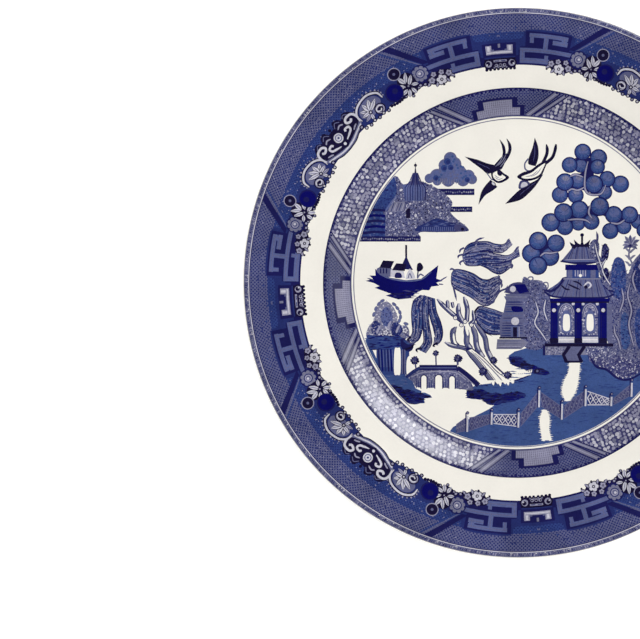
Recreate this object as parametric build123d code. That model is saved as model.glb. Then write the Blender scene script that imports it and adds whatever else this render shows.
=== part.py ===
from build123d import *
import os

# A rimmed dinner plate of underglaze-printed earthenware, as its fired layers:
# the clay body, the printed colour that lies on it, and the glaze over both.
# Millimetres, +Z up. The origin is the centre of the circle that the foot ring stands on,
# and +Y points to the top of the printed scene.

# ---- Driving dimensions: the whole plate, measured over its glaze ----
# The rim's height is that of its sloping front carried out to the full diameter, and the
# rounding of the lip leaves the finished plate 0.47 lower.
plate_diameter = 260.0
rim_edge_height = 24.0
well_floor_height = 6.6
wall_thickness = 4.4
lip_thickness = 3.6

# The front, from the centre outwards: flat well, steep verge, gently rising rim.
verge_foot_radius = 80.0
verge_top_radius = 91.5
verge_top_height = 14.6

# The foot ring that the plate stands on.
foot_outer_radius = 78.6
foot_land_width = 2.4
foot_height = 2.5
foot_flare = 1.4

# ---- Layers ----
glaze_thickness = 0.3
print_thickness = 0.15
bare_foot_height = 0.8

# ---- Printed bands, as radii ----
rim_print_inner_radius = 99.6
rim_print_outer_radius = 129.0
verge_print_inner_radius = 77.5
verge_print_outer_radius = 93.0
scene_print_radius = 77.2
back_mark_radius = 11.0

# ---- Rounding of the section's corners ----
verge_foot_rounding = 14.0
verge_top_rounding = 20.0
lip_rounding = 1.7
back_rim_rounding = 16.0
foot_top_rounding = 2.4
foot_land_rounding = 0.7
foot_inner_rounding = 1.4

# ---- Worked-out sizes ----
plate_radius = plate_diameter / 2
foot_inner_radius = foot_outer_radius - foot_land_width
half_wall = wall_thickness / 2
past_axis = 20.0
past_plate = 10.0


def plate_outline():
    """The right half of the plate's section over the glaze, drawn a little past the axis."""
    front = [
        (-past_axis, well_floor_height),
        (verge_foot_radius, well_floor_height),
        (verge_top_radius, verge_top_height),
        (plate_radius, rim_edge_height),
    ]
    back = [
        (plate_radius, rim_edge_height - lip_thickness),
        (verge_top_radius + half_wall, verge_top_height - wall_thickness),
        (foot_outer_radius + foot_flare, foot_height),
        (foot_outer_radius, 0),
        (foot_inner_radius, 0),
        (foot_inner_radius - foot_flare, foot_height),
        (-past_axis, foot_height),
    ]
    roundings = [
        verge_foot_rounding,
        verge_top_rounding,
        lip_rounding,
        lip_rounding,
        back_rim_rounding,
        foot_top_rounding,
        foot_land_rounding,
        foot_land_rounding,
        foot_inner_rounding,
    ]
    open_line = FilletPolyline(*front, *back, radius=roundings)
    closing_line = Line(open_line @ 1, open_line @ 0)
    return make_face(open_line.edges() + closing_line.edges())


def ring_window(inner_radius, outer_radius, low, high):
    """A rectangle of the section that spans two radii and two heights."""
    middle = Pos((inner_radius + outer_radius) / 2, (low + high) / 2)
    return middle * Rectangle(outer_radius - inner_radius, high - low)


# ---- Nested sections: over the glaze, over the fired body, under the printed colour ----
glazed_section = plate_outline()
fired_section = offset(glazed_section, -glaze_thickness)
under_print_section = offset(glazed_section, -glaze_thickness - print_thickness)
print_layer = fired_section - under_print_section

whole_height = (-past_plate, rim_edge_height + past_plate)
right_of_axis = ring_window(0, plate_radius + past_plate, *whole_height)
bare_foot = ring_window(
    foot_inner_radius - foot_flare, foot_outer_radius + foot_flare, -past_plate, bare_foot_height
)
inside_foot = ring_window(0, foot_inner_radius, -past_plate, foot_height + glaze_thickness)


def front_print(inner_radius, outer_radius):
    """The section of a printed band on the front of the fired body."""
    back_half = Pos(0, -half_wall) * glazed_section
    return (print_layer & ring_window(inner_radius, outer_radius, *whole_height)) - back_half


def back_print(outer_radius):
    """The section of a printed disc on the underside, inside the foot ring."""
    front_half = Pos(0, half_wall) * glazed_section
    return (print_layer & ring_window(0, outer_radius, *whole_height)) - front_half


def turned(section):
    """The solid that a section makes when it is turned about the plate's axis."""
    return revolve(Plane.XZ * section, axis=Axis.Z)


# ---- Sections of the separate pieces ----
print_sections = {
    "rim_border_print": front_print(rim_print_inner_radius, rim_print_outer_radius),
    "verge_band_print": front_print(verge_print_inner_radius, verge_print_outer_radius),
    "centre_scene_print": front_print(0, scene_print_radius),
    "back_mark_print": back_print(back_mark_radius),
}

# The foot ring's land is wiped clean of glaze, so that the body stands on bare clay.
body_section = (fired_section + (glazed_section & bare_foot)) & right_of_axis
for print_section in print_sections.values():
    body_section = body_section - print_section

# The wiped land parts the glaze in two: the coat over the front, rim and back,
# and the pool inside the foot ring.
glaze_section = (glazed_section - fired_section - bare_foot) & right_of_axis
piece_sections = {
    "biscuit_body": body_section,
    "glaze_coat": glaze_section - inside_foot,
    "foot_recess_glaze": glaze_section & inside_foot,
    **print_sections,
}

os.makedirs("parts", exist_ok=True)
for node, section in piece_sections.items():
    export_step(turned(section), f"parts/{node}.step")
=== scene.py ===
import math
import random
from bisect import bisect_right

import bpy
import numpy as np
from mathutils import Matrix, Vector
from mathutils.geometry import delaunay_2d_cdt


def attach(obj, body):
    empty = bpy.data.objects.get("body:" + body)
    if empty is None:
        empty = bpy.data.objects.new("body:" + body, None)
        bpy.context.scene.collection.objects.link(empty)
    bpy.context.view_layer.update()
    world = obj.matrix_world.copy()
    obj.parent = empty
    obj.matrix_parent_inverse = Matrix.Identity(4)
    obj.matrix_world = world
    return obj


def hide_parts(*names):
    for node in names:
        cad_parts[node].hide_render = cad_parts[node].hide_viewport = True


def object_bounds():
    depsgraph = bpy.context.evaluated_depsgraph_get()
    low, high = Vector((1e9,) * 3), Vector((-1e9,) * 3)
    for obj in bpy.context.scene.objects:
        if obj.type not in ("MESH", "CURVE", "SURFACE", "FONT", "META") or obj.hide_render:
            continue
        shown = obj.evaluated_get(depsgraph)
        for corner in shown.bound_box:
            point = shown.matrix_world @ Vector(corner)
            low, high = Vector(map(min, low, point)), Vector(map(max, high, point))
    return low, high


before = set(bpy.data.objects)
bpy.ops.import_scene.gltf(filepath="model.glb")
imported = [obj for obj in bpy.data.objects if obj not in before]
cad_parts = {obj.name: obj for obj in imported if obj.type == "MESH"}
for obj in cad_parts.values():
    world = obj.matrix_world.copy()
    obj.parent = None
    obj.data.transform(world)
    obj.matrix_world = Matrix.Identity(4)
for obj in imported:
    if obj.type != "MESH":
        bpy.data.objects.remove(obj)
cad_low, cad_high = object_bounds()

# A blue-and-white dinner plate. The drawing and the plate's section are in millimetres,
# and everything is turned into metres when its mesh is made.
MM = 0.001

# ---------------------------------------------------------------------------------------
# The plate's section, over its glaze
# ---------------------------------------------------------------------------------------
PLATE_RADIUS = (cad_high.x - cad_low.x) / 2 / MM
RIM_EDGE_HEIGHT = 24.0
WELL_FLOOR_HEIGHT = 6.6
WALL_THICKNESS = 4.4
LIP_THICKNESS = 3.6
VERGE_FOOT_RADIUS = 80.0
VERGE_TOP_RADIUS = 91.5
VERGE_TOP_HEIGHT = 14.6
FOOT_OUTER_RADIUS = 78.6
FOOT_LAND_WIDTH = 2.4
FOOT_HEIGHT = 2.5
FOOT_FLARE = 1.4
BARE_FOOT_HEIGHT = 0.8
GLAZE_THICKNESS = 0.3
INK_LIFT = 0.02
FOOT_INNER_RADIUS = FOOT_OUTER_RADIUS - FOOT_LAND_WIDTH

SECTION_CORNERS = [
    (0, WELL_FLOOR_HEIGHT),
    (VERGE_FOOT_RADIUS, WELL_FLOOR_HEIGHT),
    (VERGE_TOP_RADIUS, VERGE_TOP_HEIGHT),
    (PLATE_RADIUS, RIM_EDGE_HEIGHT),
    (PLATE_RADIUS, RIM_EDGE_HEIGHT - LIP_THICKNESS),
    (VERGE_TOP_RADIUS + WALL_THICKNESS / 2, VERGE_TOP_HEIGHT - WALL_THICKNESS),
    (FOOT_OUTER_RADIUS + FOOT_FLARE, FOOT_HEIGHT),
    (FOOT_OUTER_RADIUS, 0),
    (FOOT_INNER_RADIUS, 0),
    (FOOT_INNER_RADIUS - FOOT_FLARE, FOOT_HEIGHT),
    (0, FOOT_HEIGHT),
]
SECTION_ROUNDINGS = [14.0, 20.0, 1.7, 1.7, 16.0, 2.4, 0.7, 0.7, 1.4]


# How finely the section is sampled: the turn of each piece of an arc in degrees, and the
# longest straight piece in millimetres.
ARC_STEP = 1.5
LONGEST_PIECE = 4.0


def rounded_outline(corners, roundings):
    """Samples (point, outward normal) along a line whose corners are rounded.

    The outward side is on the left of the way along the line.
    """
    points = [Vector(c) for c in corners]
    ways = [(b - a).normalized() for a, b in zip(points, points[1:])]
    samples = []

    def add_straight(start, end, way):
        pieces = max(1, math.ceil((end - start).length / LONGEST_PIECE))
        for k in range(pieces + 1):
            samples.append((start.lerp(end, k / pieces), Vector((-way.y, way.x))))

    start = points[0]
    for corner, way_in, way_out, rounding in zip(points[1:], ways, ways[1:], roundings):
        turn = math.atan2(way_in.cross(way_out), way_in.dot(way_out))
        reach = rounding * math.tan(abs(turn) / 2)
        arc_start = corner - way_in * reach
        add_straight(start, arc_start, way_in)
        normal = Vector((-way_in.y, way_in.x))
        side = math.copysign(1, turn)
        middle = arc_start + normal * rounding * side
        steps = max(2, math.ceil(math.degrees(abs(turn)) / ARC_STEP))
        for k in range(1, steps):
            turned = Matrix.Rotation(turn * k / steps, 2) @ normal
            samples.append((middle - turned * rounding * side, turned))
        start = corner + way_out * reach
    add_straight(start, points[-1], ways[-1])
    return samples


SECTION = rounded_outline(SECTION_CORNERS, SECTION_ROUNDINGS)
FRONT = [s for s in SECTION if s[0].y > WELL_FLOOR_HEIGHT - GLAZE_THICKNESS and s[1].y > 0]
FRONT_RADII = [s[0].x for s in FRONT]


def front_at(radius):
    """The height and outward normal of the plate's front at a radius."""
    k = min(max(bisect_right(FRONT_RADII, radius), 1), len(FRONT) - 1)
    (low, low_normal), (high, high_normal) = FRONT[k - 1], FRONT[k]
    share = (radius - low.x) / max(high.x - low.x, 1e-9)
    return low.lerp(high, share).y, low_normal.lerp(high_normal, share).normalized()


# ---------------------------------------------------------------------------------------
# Colours and fired materials
# ---------------------------------------------------------------------------------------
def shade(red, green, blue):
    """A colour given as it shows on a screen, 0 to 255, as the linear colour that nodes use."""
    def linear(v):
        v /= 255
        return v / 12.92 if v <= 0.04045 else ((v + 0.055) / 1.055) ** 2.4
    return (linear(red), linear(green), linear(blue), 1.0)


# Each tone of the cobalt print, from the strongest line to the faintest wash.
TONES = {
    "black": shade(22, 17, 52),
    "navy": shade(26, 26, 82),
    "royal": shade(8, 8, 92),
    "deep": shade(36, 45, 102),
    "cobalt": shade(46, 63, 122),
    "wash": shade(58, 80, 134),
    "dusk": shade(66, 66, 110),
    "steel": shade(86, 95, 142),
    "slate": shade(94, 96, 132),
    "stone": shade(118, 118, 143),
    "lilac": shade(148, 146, 170),
    "mist": shade(196, 194, 206),
    "glaze": shade(241, 237, 228),
}
TONE_NAMES = list(TONES)


def noise_node(nodes, links, place, scale, detail):
    """A noise pattern in the plate's own space. scale counts features per metre."""
    noise = nodes.new("ShaderNodeTexNoise")
    noise.inputs["Scale"].default_value = scale
    noise.inputs["Detail"].default_value = detail
    links.new(place, noise.inputs["Vector"])
    return noise.outputs["Fac"]


def blended(nodes, links, factor, low, high, low_at=0.35, high_at=0.65):
    """A colour ramp between two colours, driven by a factor."""
    ramp = nodes.new("ShaderNodeValToRGB")
    ramp.color_ramp.elements[0].position = low_at
    ramp.color_ramp.elements[0].color = low
    ramp.color_ramp.elements[1].position = high_at
    ramp.color_ramp.elements[1].color = high
    links.new(factor, ramp.inputs["Fac"])
    return ramp.outputs["Color"]


def scaled(colour, by):
    """A colour made lighter or darker."""
    return tuple(min(c * by, 1.0) for c in colour[:3]) + (1.0,)


# Features in a metre of each fired effect, and how deep the waves in the glaze are, in metres.
DRIFT_SCALE = 70
GLOSS_SCALE = 150
PEEL_SCALE = 320
PEEL_DEPTH = 0.0002


def fired_material(name, pale, dark, grain, grain_share, gloss_low, gloss_high, bump):
    """A fired surface: two colours that drift into each other, a finer grain, and uneven gloss."""
    material = bpy.data.materials.new(name)
    material.use_nodes = True
    nodes, links = material.node_tree.nodes, material.node_tree.links
    shader = nodes["Principled BSDF"]
    place = nodes.new("ShaderNodeTexCoord").outputs["Object"]
    drift = blended(nodes, links, noise_node(nodes, links, place, DRIFT_SCALE, 3), dark, pale)
    specks = blended(
        nodes, links, noise_node(nodes, links, place, grain, 4),
        (1 - grain_share,) * 3 + (1,), (1, 1, 1, 1), 0.3, 0.6,
    )
    mix = nodes.new("ShaderNodeMix")
    mix.data_type = "RGBA"
    mix.blend_type = "MULTIPLY"
    mix.inputs["Factor"].default_value = 1.0
    links.new(drift, mix.inputs["A"])
    links.new(specks, mix.inputs["B"])
    links.new(mix.outputs["Result"], shader.inputs["Base Color"])

    gloss = nodes.new("ShaderNodeMapRange")
    gloss.inputs["To Min"].default_value = gloss_low
    gloss.inputs["To Max"].default_value = gloss_high
    links.new(noise_node(nodes, links, place, GLOSS_SCALE, 2), gloss.inputs["Value"])
    links.new(gloss.outputs["Result"], shader.inputs["Roughness"])

    peel = nodes.new("ShaderNodeBump")
    peel.inputs["Strength"].default_value = bump
    peel.inputs["Distance"].default_value = PEEL_DEPTH
    links.new(noise_node(nodes, links, place, PEEL_SCALE, 2), peel.inputs["Height"])
    links.new(peel.outputs["Normal"], shader.inputs["Normal"])
    return material


def ink_material(name):
    """A tone of the print under the glaze. Strong ink pools unevenly, and faint ink shows its stipple."""
    colour = TONES[name]
    if name == "glaze":
        return glaze_material("glaze_between_the_ink")
    return fired_material(
        f"ink_{name}", scaled(colour, 1.12), scaled(colour, 0.86),
        grain=1400, grain_share=0.22, gloss_low=0.05, gloss_high=0.12, bump=0.05,
    )


def glaze_material(name):
    """The clear glaze over cream clay, with the faint waves of a dipped surface."""
    return fired_material(
        name, TONES["glaze"], scaled(TONES["glaze"], 0.965),
        grain=900, grain_share=0.02, gloss_low=0.05, gloss_high=0.11, bump=0.05,
    )


def biscuit_material():
    """Bare fired clay, where the foot ring is wiped clean of glaze."""
    return fired_material(
        "bare_biscuit", shade(226, 214, 192), shade(206, 192, 166),
        grain=2500, grain_share=0.25, gloss_low=0.75, gloss_high=0.95, bump=0.6,
    )


INKS = {tone: ink_material(tone) for tone in TONES}

# ---------------------------------------------------------------------------------------
# Drawing: shapes are laid one over the other, and the last one to cover a spot gives its tone
# ---------------------------------------------------------------------------------------
def smooth(points, pieces=5, closed=False):
    """A smooth curve through points, as a line of short pieces."""
    pts = [Vector(p) for p in points]
    if closed:
        ring = [pts[-1], *pts, pts[0], pts[1]]
    else:
        ring = [pts[0] * 2 - pts[1], *pts, pts[-1] * 2 - pts[-2]]
    line = []
    for before, start, end, after in zip(ring, ring[1:], ring[2:], ring[3:]):
        way = end - before
        bend = before * 2 - start * 5 + end * 4 - after
        swing = start * 3 - before - end * 3 + after
        for k in range(pieces):
            t = k / pieces
            line.append(tuple((start * 2 + way * t + bend * t**2 + swing * t**3) / 2))
    if not closed:
        line.append(tuple(pts[-1]))
    return line


class Drawing:
    """A flat drawing in millimetres, kept as shapes in the order they are laid."""

    def __init__(self, to_plane=None):
        self.shapes = []
        self.guides = []
        self.to_plane = to_plane or (lambda x, y: (x, y))

    def area(self, points, tone):
        """A filled outline."""
        self.shapes.append((np.array([self.to_plane(*p) for p in points]), tone))

    def blob(self, points, tone):
        """A filled, rounded outline through points."""
        self.area(smooth(points, 4, closed=True), tone)

    def sliver(self, one, other, tone):
        """A shape between two smooth edges. It is sharp where they meet."""
        self.area(smooth(one) + smooth(other)[::-1], tone)

    def box(self, left, low, right, high, tone):
        """An upright rectangle."""
        self.area([(left, low), (right, low), (right, high), (left, high)], tone)

    def line(self, points, width, tone, start=1.0, end=1.0):
        """A stroke. start and end are shares of the width at its two ends."""
        path = np.array([self.to_plane(*p) for p in points], float)
        way = np.gradient(path, axis=0)
        way /= np.maximum(np.hypot(*way.T), 1e-9)[:, None]
        side = np.c_[-way[:, 1], way[:, 0]]
        share = np.linspace(0, 1, len(path))
        middle = np.minimum(1, np.minimum(start + 3 * share, end + 3 * (1 - share)))
        half = (width / 2 * np.maximum(middle, 0.03))[:, None]
        self.shapes.append((np.r_[path + side * half, (path - side * half)[::-1]], tone))

    def curve(self, points, width, tone, start=1.0, end=1.0, pieces=5):
        """A smooth stroke through points."""
        self.line(smooth(points, pieces), width, tone, start, end)

    def disc(self, centre, radius, tone, sides=12, squash=1.0, turn=0.0):
        """A round or oval spot, placed by its middle."""
        x, y = self.to_plane(*centre)
        angles = np.linspace(0, 2 * math.pi, sides, endpoint=False)
        spot = np.c_[radius * np.cos(angles), radius * squash * np.sin(angles)]
        cos, sin = math.cos(math.radians(turn)), math.sin(math.radians(turn))
        self.shapes.append((spot @ np.array([[cos, sin], [-sin, cos]]) + (x, y), tone))

    def rings(self, centre, *sizes):
        """Discs about one middle, the last on top. Each size is a radius, a tone and sides."""
        for size in sizes:
            self.disc(centre, *size)

    def guide(self, points):
        """A line that the mesh follows, without a tone of its own."""
        self.guides.append(np.array([self.to_plane(*p) for p in points]))


def away_from(middle, reach, angle, rise=None):
    """A spot at a reach and an angle in radians from a middle. rise is the reach upwards."""
    rise = reach if rise is None else rise
    return middle[0] + reach * math.cos(angle), middle[1] + rise * math.sin(angle)


def covered(points, outline):
    """Which points an outline winds round."""
    x, y = points[:, 0, None], points[:, 1, None]
    ax, ay = outline.T
    bx, by = np.roll(outline, -1, axis=0).T
    side = (bx - ax) * (y - ay) - (x - ax) * (by - ay)
    upward = (ay <= y) & (by > y) & (side > 0)
    downward = (ay > y) & (by <= y) & (side < 0)
    return upward.sum(1) != downward.sum(1)


def split_into_triangles(drawing, boundary):
    """The drawing cut along all its lines: points, triangles and the tone of each triangle."""
    points, edges = [], []

    def add_chain(chain, closed):
        first = len(points)
        points.extend(Vector(p) for p in chain)
        edges.extend((first + k, first + k + 1) for k in range(len(chain) - 1))
        if closed:
            edges.append((first + len(chain) - 1, first))

    for outline, _ in drawing.shapes:
        add_chain(outline, True)
    for chain in drawing.guides:
        add_chain(chain, False)
    add_chain(boundary, True)
    flat, _, triangles, *_ = delaunay_2d_cdt(points, edges, [], 0, 0.003, False)
    flat = np.array([tuple(p) for p in flat])
    triangles = np.array([t for t in triangles if len(t) == 3])
    centres = flat[triangles].mean(1)
    order = np.argsort(centres[:, 0])
    triangles, centres = triangles[order], centres[order]
    tones = np.full(len(triangles), TONE_NAMES.index("glaze"))
    for outline, tone in drawing.shapes:
        (left, low), (right, high) = outline.min(0), outline.max(0)
        first, last = np.searchsorted(centres[:, 0], (left, right))
        near = np.arange(first, last)
        near = near[(centres[near, 1] > low) & (centres[near, 1] < high)]
        near = near[covered(centres[near], outline)]
        tones[near] = TONE_NAMES.index(tone)
    inside = covered(centres, np.array(boundary, float))
    return flat, triangles[inside], tones[inside]


def lay_on_front(name, flat, triangles, tones, node):
    """A piece that lies on the plate's front, one material for each tone it uses."""
    radii = np.hypot(*flat.T)
    at = [front_at(r) for r in radii]
    across = flat / np.maximum(radii, 1e-9)[:, None]
    normals = np.array([(a[0] * n.x, a[1] * n.x, n.y) for a, (_, n) in zip(across, at)])
    heights = np.array([h for h, _ in at])
    places = np.c_[flat, heights] + normals * INK_LIFT
    make_piece(name, places, triangles, normals, tones, node)


def make_piece(name, places, faces, normals, tones, node):
    """A mesh object in metres with smooth normals that rides on the plate."""
    mesh = bpy.data.meshes.new(name)
    mesh.from_pydata((places * MM).tolist(), [], [tuple(map(int, f)) for f in faces])
    used = sorted(set(tones))
    for tone in used:
        mesh.materials.append(INKS[TONE_NAMES[tone]])
    mesh.polygons.foreach_set("material_index", [used.index(t) for t in tones])
    mesh.shade_smooth()
    mesh.normals_split_custom_set_from_vertices([tuple(n) for n in normals])
    piece = bpy.data.objects.new(name, mesh)
    bpy.context.scene.collection.objects.link(piece)
    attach(piece, "root")
    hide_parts(node)


# ---------------------------------------------------------------------------------------
# Rings of pattern: one eighth is drawn, mirrored, and repeated round the plate
# ---------------------------------------------------------------------------------------
EIGHTH = 45.0
QUARTER = 90.0


def on_ring(angle, radius):
    """A spot on the plate from an angle in degrees and a radius, as x and y."""
    return radius * math.cos(math.radians(angle)), radius * math.sin(math.radians(angle))


def arc(radius, start, end, step=1.0):
    """Points along a ring between two angles."""
    count = max(2, math.ceil(abs(end - start) / step) + 1)
    return [(a, radius) for a in np.linspace(start, end, count)]


def sector(inner, outer, start, end, step=1.0):
    """The outline of a stretch of ring between two radii and two angles."""
    return arc(outer, start, end, step) + arc(inner, end, start, step)


def repeated(flat, triangles, turns):
    """The drawn eighth and its mirror image, turned to each of the given angles."""
    all_flat, all_triangles = [], []
    for turn in turns:
        cos, sin = math.cos(math.radians(turn)), math.sin(math.radians(turn))
        for mirror in (1, -1):
            turned = (flat * (1, mirror)) @ np.array([[cos, sin], [-sin, cos]])
            all_triangles.append(triangles[:, ::mirror] + sum(map(len, all_flat)))
            all_flat.append(turned)
    return np.concatenate(all_flat), np.concatenate(all_triangles)


def used_only(flat, triangles):
    """The points that some triangle uses, and the triangles counted over them."""
    used, index = np.unique(triangles, return_inverse=True)
    return flat[used], index.reshape(triangles.shape)


# ---------------------------------------------------------------------------------------
# The border on the rim. Angles run from the middle of the stepped key to the middle of the
# cartouche, half-way to the next key.
# ---------------------------------------------------------------------------------------
RIM_TURN = 4.7
RIM_EDGE_BAND = (127.55, 129.6)
RIM_GROUND = (103.0, 127.15)
RIM_PRINT = (99.6, 129.6)
TRELLIS_CELL = 0.8
EDGE_TICKS = 110
DARK_FLECKS = 150
LIGHT_SPECKS = 90
# How far, in degrees, each stretch of border between two keys has slipped as it was laid.
RIM_SLIPS = (0.3, 1.5, -0.4, 0.2)


def trellis(ink, inner, outer, start, end, cell, tone, width, spot, spot_tone):
    """Two crossing families of slanting lines, with a spot in every mesh."""
    rows = round((outer - inner) / (cell * math.radians(1) * (inner + outer) / 2))
    step = (outer - inner) / rows
    columns = round((end - start) / cell)
    for k in range(-rows, columns + rows + 1):
        for way in (1, -1):
            path = [(start + (k + way * j) * cell, inner + j * step) for j in range(rows + 1)]
            path = [p for p in path if start - cell <= p[0] <= end + cell]
            if len(path) > 1:
                ink.line(path, width, tone)
    for j in range(rows):
        shift = 0.5 * (j % 2 == 0)
        for k in range(columns + 1):
            ink.disc((start + (k + shift) * cell, inner + (j + 0.5) * step), spot, spot_tone, 5)


def rim_ground(ink, chance):
    """The grey ticked edge, whose grey is partly print and partly a painted reflection of the bright room in
    the curved lip, and the dark ground, whose trellis is brighter towards the edge.
    """
    ink.area(sector(RIM_GROUND[1], RIM_EDGE_BAND[0], -1, EIGHTH + 1), "mist")
    # The edge band: printed ticks on a grey that is partly a painted reflection of the room in the lip.
    ink.area(sector(*RIM_EDGE_BAND, -1, EIGHTH + 1), "slate")
    for k in range(EDGE_TICKS):
        angle = k * EIGHTH / EDGE_TICKS + chance.uniform(-0.12, 0.12)
        foot, top = 127.7 + chance.uniform(0, 0.5), 129.1 + chance.uniform(-0.4, 0.4)
        tone = chance.choice(("deep", "dusk", "navy", "stone", "lilac"))
        ink.line([(angle, foot), (angle + 0.15, top)], chance.uniform(0.25, 0.5), tone)
    ink.area(sector(*RIM_GROUND, -1, EIGHTH + 1), "deep")
    trellis(ink, 110.2, 118.6, 0, EIGHTH, TRELLIS_CELL, "cobalt", 0.5, 0.22, "navy")
    trellis(ink, 118.6, 127.0, 0, EIGHTH, TRELLIS_CELL, "slate", 0.44, 0.18, "navy")
    for k in range(DARK_FLECKS):
        place = (chance.uniform(0, EIGHTH), chance.uniform(110, 124))
        tone = chance.choice(("deep", "deep", "cobalt", "slate"))
        ink.disc(place, chance.uniform(0.3, 0.7), tone, 6, 0.6, chance.uniform(0, 180))
    for k in range(LIGHT_SPECKS):
        ink.disc((chance.uniform(18, EIGHTH), chance.uniform(112, 126)), 0.24, "lilac", 5)
    ink.area(sector(126.75, RIM_GROUND[1], -1, EIGHTH + 1), "navy")


def key_ground(ink):
    """The plain dark field behind the key and the frets, with the bar that slants out from it."""
    ink.area(sector(RIM_GROUND[0], 112.6, -1, EIGHTH + 1), "deep")
    ink.blob([
        (-1.0, 114.6), (2.8, 114.9), (5.6, 115.6), (6.6, 119.4), (12.0, 119.8), (17.4, 119.2),
        (18.0, 114.0), (17.6, 108.0), (-1.0, 108.0),
    ], "deep")
    ink.area(sector(RIM_GROUND[0], 118.9, 6.4, 17.2), "navy")
    ink.area([(16.8, 112.4), (18.4, 112.4), (25.0, 126.8), (23.3, 126.8)], "navy")
    ink.line([(18.9, 112.6), (25.5, 126.6)], 0.45, "slate")
    ink.line([(19.4, 112.6), (26.0, 126.6)], 0.6, "cobalt")
    ink.area(sector(RIM_GROUND[0], 107.5, 3.9, 21.5), "navy")


def stepped_key(ink):
    """The light key with its tick, over a small bar with a curl at each end."""
    for inner, outer, start, end, tone in (
        (107.2, 113.6, -0.5, 4.1, "navy"), (108.4, 110.0, -0.5, 3.3, "lilac"),
        (108.9, 109.5, -0.5, 3.1, "mist"), (110.0, 112.6, 1.9, 3.3, "lilac"),
        (110.0, 112.2, 2.3, 2.9, "mist"), (109.9, 110.7, 1.3, 2.0, "slate"),
        (111.4, 113.2, -0.5, 0.28, "stone"), (101.6, 106.5, -0.5, 4.0, "black"),
    ):
        ink.area(sector(inner, outer, start, end), tone)
    for angle in (0.6, 1.6, 2.7, 3.7):
        ink.disc((angle, 101.5), 0.75, "black", 8)
    ink.disc((3.1, 104.1), 2.25, "black", 14)
    ink.disc((3.0, 104.1), 1.6, "lilac", 12)
    ink.disc((3.15, 104.3), 1.05, "black", 10)
    ink.disc((3.45, 103.8), 0.45, "mist", 7)
    ink.area(sector(104.8, 105.7, -0.5, 1.7), "lilac")
    ink.area(sector(105.0, 105.4, 0.3, 1.4), "deep")
    for angle in (0.0, 1.05):
        ink.disc((angle, 103.1), 0.85, "lilac", 8)
        ink.disc((angle + 0.1, 103.2), 0.45, "black", 6)
    for angle in (0.55, 1.6):
        ink.disc((angle, 102.2), 0.45, "stone", 6)


def frets(ink):
    """Two interlocked frets beside the key, each a broad light band with a faint ruling."""
    bands = (
        (arc(110.0, 5.1, 17.9), 2.2), ([(5.7, 104.0), (5.7, 110.0)], 2.5), (arc(105.1, 5.1, 12.7), 2.6),
        ([(11.8, 105.6), (11.8, 108.0)], 2.0), (arc(117.0, 7.3, 16.4), 2.2),
        ([(7.9, 113.4), (7.9, 117.4)], 2.1), ([(11.3, 110.2), (11.3, 116.8)], 2.4),
        (arc(114.4, 12.9, 16.5), 2.3), ([(15.6, 114.0), (15.6, 117.4)], 2.8),
    )
    for widening, tone in ((1.1, "navy"), (-0.2, "steel")):
        for path, width in bands:
            ink.line(path, width + widening, tone)
    for path, width in bands:
        ink.line(path, 0.45, "slate")


def little_flower(ink, angle, radius, size, petal, turn):
    """A small round flower: five petals about a heart, with a dark line round each."""
    petals = 5
    x, y = on_ring(angle, radius)
    spot = Drawing()
    for swell, tone in ((0.62, "black"), (0.44, petal)):
        for k in range(petals):
            a = math.radians(turn + k * 360 / petals)
            spot.disc(away_from((x, y), 0.62 * size, a), swell * size, tone, 8)
    spot.disc((x, y), 0.36 * size, "black", 7)
    spot.disc((x, y), 0.18 * size, petal, 5)
    ink.shapes.extend(spot.shapes)


def leaf(ink, foot, tip, width, tone, vein=None):
    """A pointed leaf from its foot to its tip, in ring places."""
    (a0, r0), (a1, r1) = foot, tip
    x0, y0 = on_ring(a0, r0)
    x1, y1 = on_ring(a1, r1)
    way = Vector((x1 - x0, y1 - y0))
    side = Vector((-way.y, way.x)).normalized() * width / 2
    start = Vector((x0, y0))
    edge = [(0, 0), (0.25, 0.8), (0.55, 1.0), (0.85, 0.5), (1, 0)]
    outline = [start + way * t + side * w for t, w in edge]
    outline += [start + way * t - side * w for t, w in edge[-2:0:-1]]
    ink.shapes.append((np.array([tuple(p) for p in outline]), tone))
    if vein:
        middle = [tuple(start + way * t) for t in (0.1, 0.9)]
        thin = Drawing()
        thin.line(middle, 0.28, vein)
        ink.shapes.extend(thin.shapes)


def edge_sprig(ink):
    """Small flowers that hang over the inner edge of the border beside the frets."""
    ink.blob([
        (12.4, 105.4), (13.6, 101.8), (15.6, 100.4), (17.6, 101.4), (19.0, 103.6), (17.6, 106.4),
        (14.6, 107.0),
    ], "black")
    for foot, tip in (
        ((14.6, 102.8), (13.4, 100.2)), ((16.4, 102.6), (17.4, 100.0)), ((13.4, 104.0), (11.9, 102.4)),
        ((18.2, 103.4), (19.6, 101.8)),
    ):
        leaf(ink, foot, tip, 1.9, "black")
        leaf(ink, foot, tip, 1.0, "lilac")
    little_flower(ink, 15.5, 102.7, 2.3, "mist", 20)
    for angle, radius, size in (
        (13.3, 104.6, 1.4), (17.9, 103.8, 1.5), (15.0, 106.0, 1.2), (17.0, 106.2, 1.2),
    ):
        little_flower(ink, angle, radius, size, "lilac", angle * 40)
    for angle, radius in ((12.3, 101.9), (15.4, 99.95), (19.4, 102.9)):
        ink.disc((angle, radius), 0.55, "black", 7)


def rosette(ink):
    """The round, ringed flower at the end of the frets."""
    middle = (19.9, 109.0)
    ink.disc(middle, 4.3, "navy", 16)
    for size, tone in ((1.25, "deep"), (1.0, "stone")):
        for k in range(9):
            a = math.radians(k * 40)
            ink.disc(away_from(middle, 1.45, a, 2.75), size, tone, 8)
    ink.rings(middle, (2.2, "deep", 12), (1.7, "lilac", 12), (1.15, "slate", 10))
    ink.disc((20.0, 109.2), 0.65, "mist", 8)
    for angle, radius in ((18.6, 104.2), (19.8, 103.5), (21.0, 104.0)):
        ink.rings((angle, radius), (1.05, "black", 8), (0.6, "lilac", 7))


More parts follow.
